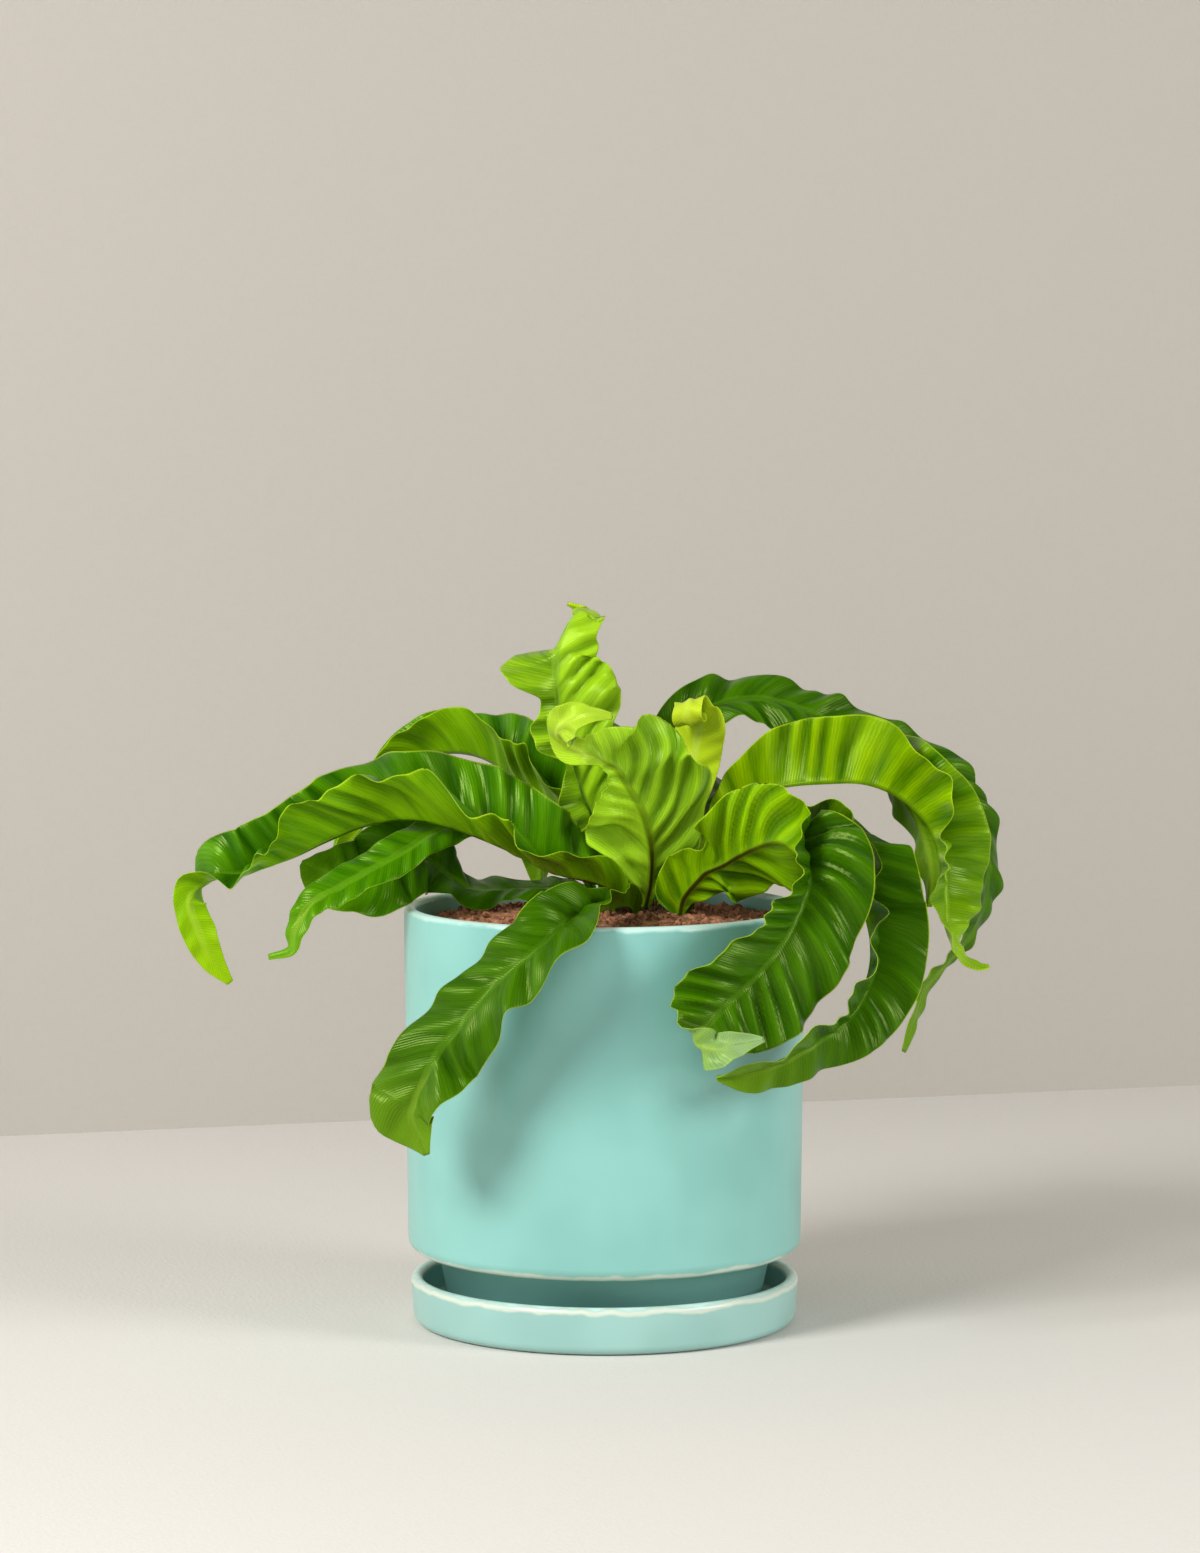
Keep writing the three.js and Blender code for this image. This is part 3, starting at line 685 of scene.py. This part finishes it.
        (49, 11, 208, 8, 8, 15, 55),
        (60, 10, 216, 16, 16, 15, 55),
        (74, 7, 220, 25, 25, 25, 70),
        (91, 3, 222, 28, 28, 25, 65),
        (107, 1, 222, 28, 28, 20, 65),
        (121, -2, 217, 25, 25, -15, 75),
        (133, -6, 206, 23, 23, -30, 65),
        (138, -10, 192, 21, 21, -35, 35),
        (139, -13, 178, 18, 18, -40, 25),
        (140, -15, 165, 11, 11, -35, 25),
        (145, -17, 154, 6, 6, -15, 5),
        (152, -19, 149, 4, 4, -15, 5),
        (157, -19, 149, 2, 2, -15, 5),
    ]),
    ("frond_long_right", (0, -1, 0), [
        (26, 9, 164, 2.3, 2.3, -50, 0),
        (26, 16, 193, 4, 4, -50, 18),
        (24, 22, 214, 7, 7, -50, 35),
        (26, 28, 232, 10, 10, -50, 35),
        (37, 34, 247, 13, 13, -50, 35),
        (55, 38, 254, 14, 14, -40, 5),
        (73, 42, 253, 14, 14, -40, 0),
        (94, 44, 245, 14, 14, -35, 10),
        (115, 44, 236, 14, 14, -35, 10),
        (134, 42, 228, 14, 14, -35, 5),
        (150, 38, 216, 14, 14, -30, 5),
        (158, 34, 198, 13, 13, -30, 0),
        (160, 30, 179, 11, 11, -30, 0),
        (155, 26, 161, 7, 7, -30, 0),
        (143, 22, 146, 5, 5, -30, 0),
        (133, 18, 135, 5, 5, -30, 0),
        (129, 14, 123, 5, 5, -30, 0),
        (124, 10, 110, 1.5, 1.5, -30, 0),
    ]),
    ("frond_behind_right", None, [
        (28, 14, 164, 2.3, 2.3, 0, 0),
        (40, 22, 194, 4, 4, 0, 12),
        (54, 30, 210, 8, 8, 0, 25),
        (73, 36, 221, 12, 12, 0, 25),
        (96, 37, 227, 14, 14, 0, 25),
        (115, 32, 222, 13, 13, 0, 25),
        (126, 25, 211, 12, 12, 0, 25),
        (133, 20, 196, 11, 11, 0, 25),
        (135, 15, 182, 7, 7, 0, 25),
        (134, 13, 170, 1.5, 1.5, 0, 25),
    ]),
    ("frond_back_right", None, [
        (19, 18, 164, 2.3, 2.3, 0, 0),
        (21, 28, 185, 4, 4, 0, 12),
        (34, 48, 202, 11, 11, 0, 25),
        (47, 70, 211, 17, 17, 0, 25),
        (57, 91, 210, 18, 18, 0, 25),
        (61, 107, 198, 16, 16, 0, 25),
        (61, 117, 182, 10, 10, 0, 25),
        (60, 122, 168, 1.5, 1.5, 0, 25),
    ]),
    ("frond_back_centre", None, [
        (12, 17, 164, 2.3, 2.3, 0, 0),
        (9, 28, 187, 4, 4, 0, 12),
        (12, 46, 209, 12, 12, 0, 25),
        (15, 68, 225, 19, 19, 0, 25),
        (20, 92, 229, 20, 20, 0, 25),
        (23, 114, 219, 17, 17, 0, 25),
        (25, 130, 201, 10, 10, 0, 25),
        (27, 138, 183, 1.5, 1.5, 0, 25),
    ]),
    ("frond_back_left", None, [
        (6, 15, 164, 2.3, 2.3, 0, 0),
        (1, 30, 187, 4, 4, 0, 12),
        (-8, 48, 204, 11, 11, 0, 25),
        (-16, 68, 214, 17, 17, 0, 25),
        (-22, 88, 214, 19, 19, 0, 25),
        (-26, 105, 202, 16, 16, 0, 25),
        (-27, 116, 182, 10, 10, 0, 25),
        (-28, 121, 163, 1.5, 1.5, 0, 25),
    ]),
]

# %% [markdown]
# Curves through the sections
#
# A Catmull-Rom curve passes through every section, so a frond bends smoothly with few points. The
# curve is measured along its length, because ruffles and pleats are spaced in real millimetres.


# %% Follow the curves
def spline(marks, share):
    """Points of the smooth curve through marks, at shares of its run from 0 to 1."""
    last = len(marks) - 1
    place = np.clip(share * last, 0, last - 1e-9)
    index = place.astype(int)
    part = (place - index)[:, None]
    padded = np.vstack([2 * marks[0] - marks[1], marks, 2 * marks[-1] - marks[-2]])
    before, start, end, after = (padded[index + step] for step in range(4))
    leave, arrive = (end - before) / 2, (after - start) / 2
    cubic = 2 * start - 2 * end + leave + arrive
    square = 3 * end - 3 * start - 2 * leave - arrive
    return ((cubic * part + square) * part + leave) * part + start


def unit(vectors):
    return vectors / np.linalg.norm(vectors, axis=-1, keepdims=True)


def ease(number, low, high):
    share = np.clip((number - low) / (high - low), 0, 1)
    return share * share * (3 - 2 * share)


def follow(rows, across, step):
    """Evenly spaced frames along a frond: distance, centre, side, up, widths and fold."""
    marks = np.array(rows, float)
    share = np.linspace(0, 1, 3001)
    points = spline(marks[:, :3], share)
    run = np.concatenate([[0], np.cumsum(np.linalg.norm(np.diff(points, axis=0), axis=1))])
    distance = np.linspace(0, run[-1], round(run[-1] / step) + 1)
    share = np.interp(distance, run, share)
    small = 1e-4
    ahead, behind = np.clip(share + small, 0, 1), np.clip(share - small, 0, 1)
    along = unit(spline(marks[:, :3], ahead) - spline(marks[:, :3], behind))
    widths = spline(marks[:, 3:5], share)
    twist, fold = np.radians(spline(marks[:, 5:7], share)).T
    level = unit(across - (along @ across)[:, None] * along)
    side = level * np.cos(twist)[:, None] - np.cross(along, level) * np.sin(twist)[:, None]
    return distance, spline(marks[:, :3], share), side, np.cross(side, along), widths, fold


# %% [markdown]
# The blade's form
#
# A grid is bent round each cross-section: over the upper face from the left margin to the right,
# and back along the lower face, so that the blade is one closed skin. Its columns crowd together
# at the margins and round them off. Ruffles lift the margins by the same formula as in the solid,
# pleats run obliquely from the midrib, a shallow channel follows the midrib above and a rib below.

# %% Make a blade
WAVE_LENGTH = 26
WAVE_DEPTH = 0.15
LEFT_PHASE = 2.1
STALK_LENGTH = 14
STALK_THICKNESS = 3.2
STALK_EDGE = 1.6
BLADE_THICKNESS = 0.86
RIB_THICKNESS = 1.1
HALF_COLUMNS = 20
EVEN_COLUMNS = 0.55
BLADE_STEP = 1.3
ARCH = 0.05
CHANNEL_DEPTH = 0.3
CHANNEL_WIDTH = 0.9
STALK_KEEL_WIDTH = 1.9
RIB_WIDTH = 1.3
PLEAT_ROOM = 0.26
DEEP_PLEAT = 2.0
# Each frond's pleats: spacing, depth, and how far they slant on the left and on the right half.
COMMON_PLEATS = (10.0, 0.8, 0.6, 0.6)
PLEATS = {
    "frond_front_left": (12.5, 1.1, 0.8, 0.8),
    "frond_long_left": (10.5, 2.1, 0.8, 0.45),
    "frond_low_left": (10.0, 1.0, 0.8, 0.8),
    "frond_upper_left": (9.0, 1.7, 0.6, 0.4),
    "frond_upright": (11.5, 2.2, 0.2, 1.2),
    "frond_centre_curled": (10.0, 2.0, 0.9, 1.15),
    "frond_young_scroll": (9.0, 0.8, 0.7, 0.7),
    "frond_right_front": (8.5, 2.3, 0.5, 0.7),
    "frond_right_crescent": (10.5, 1.3, 0.4, 0.4),
    "frond_bright_arch": (9.5, 2.3, 0.2, 0.2),
    "frond_long_right": (13.0, 1.9, 0.8, 0.8),
}


def pleats(start, off, seed, length):
    """Height of the pleats from -1 to 1, uneven in spacing and strength."""
    drift = 1.1 * np.sin(start / 13.0 + seed) + 0.7 * np.sin(start / 6.1 + 2.3 * seed)
    strength = 0.68 + 0.32 * np.sin(start / 9.0 + off / 11.0 + 3.1 * seed)
    return strength * np.sin(math.tau * start / length + drift + 1.7 * seed)


def blade_column(k, frames, seed, shape, upper):
    """One line of points along the blade, with its two maps' coordinates and its pleats."""
    length, depth, left_slant, right_slant = shape
    distance, centre, side, up, widths, fold = frames
    sign = -1 if k < 0 else 1
    share = abs(k) / HALF_COLUMNS
    part = EVEN_COLUMNS * share + (1 - EVEN_COLUMNS) * math.sin(math.pi / 2 * share)
    width = widths[:, 0] if k < 0 else widths[:, 1]
    slant = left_slant if k < 0 else right_slant
    off = part * width
    start = distance - slant * off
    blade = ease(distance, 0, STALK_LENGTH)
    phase = LEFT_PHASE if k < 0 else 0.0
    wave = math.tau * (distance + slant * (width - off)) / WAVE_LENGTH + phase
    ruffle = WAVE_DEPTH * width * blade * np.sin(wave) * part**1.2
    arch = ARCH * width * blade * math.sin(math.pi * part)
    fine = pleats(start, off, seed + (0.8 if k < 0 else 0.0), length)
    room = np.minimum(depth, PLEAT_ROOM * off * np.cos(fold) + 0.02 * off)
    pleat = room * blade * fine * (1 - 0.35 * part**4) * ease(distance[-1] - distance, 2, 24)
    thick = (STALK_EDGE + (BLADE_THICKNESS - STALK_EDGE) * blade) / 2 * math.sqrt(1 - part**10)
    if upper:
        channel = CHANNEL_DEPTH * blade * np.exp(-((off / CHANNEL_WIDTH) ** 2))
        lift = ruffle + arch + pleat + thick - channel
    else:
        stalk_keel = (STALK_THICKNESS - STALK_EDGE) * (1 - blade)
        deep = stalk_keel + RIB_THICKNESS * (0.4 + widths[:, 0] / 50) * blade
        spread = STALK_KEEL_WIDTH - (STALK_KEEL_WIDTH - RIB_WIDTH) * blade
        lift = ruffle + arch + pleat - thick - deep * np.exp(-((off / spread) ** 2)) * (1 - part**6)
    outwards = off * np.cos(fold) - lift * np.sin(fold)
    upwards = off * np.sin(fold) + lift * np.cos(fold)
    crossed = outwards < 0
    upwards = np.where(crossed, lift / np.maximum(np.cos(fold), 0.35), upwards)
    outwards = np.where(crossed, 0, outwards)
    points = centre + side * (sign * outwards)[:, None] + up * upwards[:, None]
    return points * MM, sign * off * MM, start * MM, sign * part, fine


def make_frond(name, rows, across, finishes, seed):
    frames = follow(rows, across, BLADE_STEP)
    distance = frames[0]
    sections = len(distance) - 1
    around = 4 * HALF_COLUMNS
    shape = PLEATS.get(name, COMMON_PLEATS)
    numbers = range(-HALF_COLUMNS, HALF_COLUMNS + 1)
    over = [blade_column(k, frames, seed, shape, True) for k in numbers]
    under = [blade_column(k, frames, seed, shape, False) for k in reversed(numbers[:-1])]
    columns = over + under
    bm = bmesh.new()
    bmesh.ops.create_grid(bm, x_segments=around, y_segments=sections, size=1)
    size_map = bm.loops.layers.uv.new("size")
    share_map = bm.loops.layers.uv.new("share")
    # The pleat's height at each point, which the leaf finish turns into painted light on crests and
    # painted shade in hollows.
    pleat_layer = bm.verts.layers.float.new("pleat")
    spots = {}
    for vertex in bm.verts:
        column = round((vertex.co.x + 1) / 2 * around)
        row = round((vertex.co.y + 1) / 2 * sections)
        spots[vertex] = (column, row)
    for vertex, (column, row) in spots.items():
        points, *_, fine = columns[column]
        vertex.co = points[row]
        vertex[pleat_layer] = fine[row] * min(1.0, shape[1] / DEEP_PLEAT)
    for face in bm.faces:
        middle = sum(spots[vertex][0] for vertex in face.verts) / len(face.verts)
        face.material_index = 0 if middle < 2 * HALF_COLUMNS else 1
        for loop in face.loops:
            column, row = spots[loop.vert]
            _, off, start, part, _ = columns[column]
            loop[size_map].uv = (off[row], start[row])
            loop[share_map].uv = (part, distance[row] / distance[-1])
    bmesh.ops.remove_doubles(bm, verts=bm.verts, dist=1e-6)
    open_edges = [edge for edge in bm.edges if edge.is_boundary]
    bmesh.ops.holes_fill(bm, edges=open_edges, sides=0)
    finish_piece(name + "_blade", bm, finishes, name)


# %% [markdown]
# The leaf's finish
#
# The upper face is glossy and deep green, the lower one paler. Fine parallel veins run from the
# midrib to the margin, the pleats' crests get painted light and their hollows painted shade on
# either face, and the margin is a thin yellow-green line. The midrib is a smooth band, with a dark
# core near its base that is brown below and olive above. Everything follows two UV maps: one in
# metres across and along the blade, and one in shares of its half width and its length.

# %% Make the leaf finishes
VEIN_SPACING = 0.0011
RIB_BAND = (0.0021, 0.0011)
RIB_CORE = (0.0011, 0.0005)
MARGIN = tint(176, 204, 40)
BROWN = tint(46, 20, 10)
OLIVE = tint(60, 88, 8)
STRAW = tint(188, 214, 74)
SHEEN = tint(216, 240, 130)


def leaf(name, painted_pleat_shade, deep, bright, tip, turn, rib, core, gloss, roughness, painted_light_half=0.0):
    """A finish from its deep and bright greens, and the green of its tip past the share turn.

    The second argument says how much painted light a pleat's crest gets and painted shade its
    hollow, and is below 0 for a lower face, where what is a crest from above is a hollow. The
    last argument paints light on one half of the blade.
    """
    finish = Finish(name, Specular_IOR_Level=gloss, IOR=1.4, Subsurface_Weight=0.1)
    finish.shader.inputs["Subsurface Scale"].default_value = 0.001
    finish.shader.inputs["Subsurface Radius"].default_value = (0.9, 1.0, 0.2)
    finish.shader.inputs["Specular Tint"].default_value = SHEEN
    size = finish.node("UVMap", {"uv_map": "size"})
    share = finish.node("UVMap", {"uv_map": "share"})
    across, start, _ = finish.split(size)
    part, reach, _ = finish.split(share)
    off = abs(across)
    pleat = finish.node("Attribute", {"attribute_name": "pleat"}, 2)
    cloud = finish.noise(finish.place(), 26.0, 2.0)
    stretch = finish.node("Mapping", Vector=size, Scale=(0.1, 1.0, 1.0))
    streak = finish.noise(stretch, 420.0, 3.0, 0.6)
    wander = finish.noise(size, 120.0, 2.0)
    vein = ((start + (wander - 0.5) * 0.0012) * (math.tau / VEIN_SPACING)).sine()
    # Painted light on the pleats' crests and painted shade in their hollows, and painted light on
    # one half of the blade.
    tone = cloud * 0.35 + pleat * painted_pleat_shade + streak * 0.45 + part.ease(0.0, 0.12) * painted_light_half
    blade = finish.mix(tone.ease(0.05, 0.8), deep, bright)
    turned_share = reach.ease(turn - 0.14, turn + 0.1)
    older = finish.mix(turned_share * (1.15 - tone * 0.5), blade, tip)
    lined = finish.mix(vein.ease(0.0, 1.0) * 0.2, older, deep)
    beside = off.ease(*RIB_BAND) * reach.ease(0.98, 0.8) * 0.6
    band = finish.mix(beside, lined, finish.mix(turned_share, rib, STRAW))
    inside = off.ease(*RIB_CORE) * (1 - reach.ease(0.2, 0.42)) * 0.9
    midrib = finish.mix(inside, band, core)
    edged = finish.mix(abs(part).ease(0.975, 0.997) * 0.7, midrib, MARGIN)
    bump = finish.relief(vein + streak * 0.5, 0.00006, 0.45)
    return finish.wear(Base_Color=edged, Roughness=streak * 0.12 + roughness, Normal=bump)


over_mature = leaf(
    "leaf above",
    painted_pleat_shade=0.18,
    deep=tint(22, 80, 0),
    bright=tint(88, 148, 0),
    tip=tint(96, 150, 4),
    turn=0.9,
    rib=tint(96, 148, 20),
    core=OLIVE,
    gloss=0.5,
    roughness=0.25,
)
under_mature = leaf(
    "leaf below",
    painted_pleat_shade=-0.13,
    deep=tint(54, 108, 0),
    bright=tint(138, 188, 6),
    tip=tint(140, 180, 10),
    turn=0.9,
    rib=tint(116, 156, 20),
    core=BROWN,
    gloss=0.25,
    roughness=0.36,
)
# The shaded finishes are darker copies of the mature leaf: painted shade for the fronds on the
# right, behind and at the front left.
over_shaded = leaf(
    "shaded leaf above",
    painted_pleat_shade=0.15,
    deep=tint(18, 62, 0),
    bright=tint(72, 122, 0),
    tip=tint(104, 146, 20),
    turn=0.92,
    rib=tint(72, 118, 14),
    core=OLIVE,
    gloss=0.45,
    roughness=0.27,
)
under_shaded = leaf(
    "shaded leaf below",
    painted_pleat_shade=-0.12,
    deep=tint(40, 80, 0),
    bright=tint(100, 140, 4),
    tip=tint(110, 148, 20),
    turn=0.92,
    rib=tint(84, 120, 12),
    core=BROWN,
    gloss=0.25,
    roughness=0.4,
)
over_bright = leaf(
    "bright leaf above",
    painted_pleat_shade=0.16,
    deep=tint(36, 92, 0),
    bright=tint(132, 178, 4),
    tip=tint(152, 196, 14),
    turn=0.9,
    rib=tint(130, 176, 30),
    core=OLIVE,
    gloss=0.5,
    roughness=0.26,
)
under_bright = leaf(
    "bright leaf below",
    painted_pleat_shade=-0.18,
    deep=tint(40, 94, 0),
    bright=tint(162, 204, 0),
    tip=tint(168, 200, 20),
    turn=0.9,
    rib=tint(104, 140, 10),
    core=BROWN,
    gloss=0.45,
    roughness=0.28,
)
under_front = leaf(
    "front leaf below",
    painted_pleat_shade=-0.16,
    deep=tint(38, 92, 0),
    bright=tint(158, 206, 4),
    tip=tint(140, 172, 112),
    turn=0.9,
    rib=tint(104, 140, 10),
    core=BROWN,
    gloss=0.45,
    roughness=0.28,
)
over_tall = leaf(
    "tall leaf above",
    painted_pleat_shade=0.16,
    deep=tint(28, 84, 0),
    bright=tint(164, 210, 30),
    tip=tint(170, 208, 40),
    turn=0.92,
    rib=tint(124, 168, 40),
    core=OLIVE,
    gloss=0.6,
    roughness=0.25,
    # Painted light on one half of the tall frond.
    painted_light_half=0.16,
)
over_curled = leaf(
    "curled leaf above",
    painted_pleat_shade=0.1,
    deep=tint(80, 134, 0),
    bright=tint(146, 188, 20),
    tip=tint(150, 186, 56),
    turn=0.6,
    rib=STRAW,
    core=OLIVE,
    gloss=0.4,
    roughness=0.34,
)
under_curled = leaf(
    "curled leaf below",
    painted_pleat_shade=-0.14,
    deep=tint(28, 92, 0),
    bright=tint(178, 228, 40),
    tip=tint(166, 200, 44),
    turn=0.66,
    rib=tint(104, 136, 10),
    core=BROWN,
    gloss=0.6,
    roughness=0.26,
    # Painted light on the lobe of the curled frond.
    painted_light_half=0.2,
)
over_young = leaf(
    "young leaf above",
    painted_pleat_shade=0.1,
    deep=tint(100, 154, 0),
    bright=tint(186, 216, 20),
    tip=tint(182, 208, 34),
    turn=0.5,
    rib=STRAW,
    core=OLIVE,
    gloss=0.5,
    roughness=0.28,
)
under_young = leaf(
    "young leaf below",
    painted_pleat_shade=-0.1,
    deep=tint(110, 160, 0),
    bright=tint(194, 218, 24),
    tip=tint(188, 208, 40),
    turn=0.5,
    rib=STRAW,
    core=OLIVE,
    gloss=0.4,
    roughness=0.32,
)
MATURE = [over_mature, under_mature]
BRIGHT = [over_bright, under_bright]
TALL = [over_tall, under_bright]
CURLED = [over_curled, under_curled]
YOUNG = [over_young, under_young]
SHADED = [over_shaded, under_shaded]
# The right front frond: painted shade on its upper face, and a finish of its own below.
SHADED_ABOVE_FRONT_BELOW = [over_shaded, under_front]
LOOKS = {
    "frond_bright_arch": BRIGHT,
    "frond_centre_curled": CURLED,
    "frond_upright": TALL,
    "frond_young_scroll": YOUNG,
    "frond_right_front": SHADED_ABOVE_FRONT_BELOW,
    "frond_front_left": SHADED,
    "frond_right_crescent": SHADED,
    "frond_long_right": SHADED,
    "frond_behind_right": SHADED,
    "frond_back_right": SHADED,
    "frond_back_centre": SHADED,
    "frond_back_left": SHADED,
}

# %% [markdown]
# Hang the fronds
#
# Each frond faces away from the crown unless its row of sizes says which way its right margin
# points. Its own number shifts its pleats, so that no two fronds are pleated alike.

# %% Make every frond
for number, (name, across, rows) in enumerate(FRONDS):
    if across is None:
        heading = math.atan2(rows[0][1], rows[0][0] - CROWN.x / MM)
        across = (math.sin(heading), -math.cos(heading), 0)
    make_frond(name, rows, np.array(across, float), LOOKS.get(name, MATURE), 1.3 * number)

# %% [markdown]
# Floor, backdrop and light
#
# The plant stands on a pale warm floor before a plain greige wall, which isn't quite square to the
# view and shows from its front only. Four soft lights surround it: the key from the upper left
# and front, a second from the right, and two weak ones from the left and the front. An even world
# light fills the shadows.


# %% Set the stage
def plain(name, colour, bump):
    finish = Finish(name, Roughness=0.9, Specular_IOR_Level=0.2)
    place = finish.place()
    grain = finish.noise(place, 500.0, 2.0)
    darker = (*(0.98 * channel for channel in colour[:3]), 1.0)
    mottled = finish.mix(grain.ease(0.2, 0.8), darker, colour)
    return finish.wear(Base_Color=mottled, Normal=finish.relief(grain, bump))


def one_sided(material):
    """Lets a view from behind pass through, so that the backdrop never hides the plant."""
    tree = material.node_tree
    behind = tree.nodes.new("ShaderNodeNewGeometry").outputs["Backfacing"]
    clear = tree.nodes.new("ShaderNodeBsdfTransparent")
    blend = tree.nodes.new("ShaderNodeMixShader")
    tree.links.new(behind, blend.inputs[0])
    tree.links.new(tree.nodes["Principled BSDF"].outputs[0], blend.inputs[1])
    tree.links.new(clear.outputs[0], blend.inputs[2])
    tree.links.new(blend.outputs[0], tree.nodes["Material Output"].inputs["Surface"])
    return material


STAGE_HALF_SIZE = 6
FLOOR_DROP = 0.0002
WALL_DISTANCE = 0.56
WALL_TURN = math.radians(15.5)


def make_plane(name, matrix, material):
    bm = bmesh.new()
    bmesh.ops.create_grid(bm, x_segments=1, y_segments=1, size=STAGE_HALF_SIZE, matrix=matrix)
    mesh = bpy.data.meshes.new(name)
    bm.to_mesh(mesh)
    bm.free()
    mesh.materials.append(material)
    plane = bpy.data.objects.new(name, mesh)
    bpy.context.collection.objects.link(plane)
    plane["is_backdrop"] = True


floor_matrix = Matrix.Translation((0, 0, -FLOOR_DROP))
wall_base = Matrix.Translation((0, WALL_DISTANCE, 0)) @ Matrix.Rotation(WALL_TURN, 4, "Z")
wall_matrix = wall_base @ Matrix.Rotation(math.pi / 2, 4, "X")
pale_floor = plain("pale floor", tint(219, 215, 208), 0.0002)
greige_wall = plain("greige wall", tint(181, 175, 166), 0.0001)
make_plane("floor", floor_matrix, pale_floor)
make_plane("wall", wall_matrix, one_sided(greige_wall))


# %% Place the lights
def soft_light(name, place, aim, size, watts):
    """A round lamp of a width in metres and a power in watts."""
    lamp = bpy.data.lights.new(name, "AREA")
    lamp.shape = "DISK"
    lamp.size = size
    lamp.energy = watts
    light = bpy.data.objects.new(name, lamp)
    light.location = place
    light.rotation_euler = (Vector(aim) - Vector(place)).to_track_quat("-Z", "Y").to_euler()
    bpy.context.collection.objects.link(light)
    return light


WORLD_STRENGTH = 0.24
soft_light("key", (-1.15, -1.15, 1.2), (0, 0, 0.15), size=0.7, watts=34)
soft_light("left", (-1.7, -0.2, 0.6), (0, 0, 0.12), size=0.9, watts=4)
soft_light("right", (1.5, -0.8, 0.7), (0.05, 0, 0.1), size=0.7, watts=18)
front_light = soft_light("front", (-0.4, -2.4, 0.6), (0, 0, 0.15), size=1.5, watts=9)
front_light.visible_glossy = False
world = bpy.data.worlds.new("studio")
world.use_nodes = True
sky = world.node_tree.nodes["Background"]
sky.inputs["Color"].default_value = (1, 1, 1, 1)
sky.inputs["Strength"].default_value = WORLD_STRENGTH
world.cycles_visibility.glossy = False
bpy.context.scene.world = world
bpy.context.scene.view_settings.view_transform = "Standard"

# %% [markdown]
# The camera
#
# The photograph was taken from about two metres away with a long lens, a little above the rim and
# tipped down by five degrees. Its focal length in pixels gives the lens on a 36 mm sensor.

# %% Place the camera
PHOTO_HEIGHT = 1553
FOCAL_PIXELS = 5000
SENSOR_WIDTH = 36
CAMERA_PLACE = (-0.00185, -2.045, 0.405)
CAMERA_PITCH = math.radians(5.02)
camera_data = bpy.data.cameras.new("camera")
camera_data.sensor_width = SENSOR_WIDTH
camera_data.lens = SENSOR_WIDTH * FOCAL_PIXELS / PHOTO_HEIGHT
camera = bpy.data.objects.new("camera", camera_data)
camera.location = CAMERA_PLACE
camera.rotation_euler = (math.pi / 2 - CAMERA_PITCH, 0, 0)
bpy.context.collection.objects.link(camera)
bpy.context.scene.camera = camera

# %% Compare the boxes and finish
seen_box = [list(map(float, corner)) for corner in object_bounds()]
for low_high, cad, seen in zip(("low", "high"), cad_box, seen_box):
    print(low_high, [round((b - a) / MM, 2) for a, b in zip(cad, seen)], "mm beyond the solids")
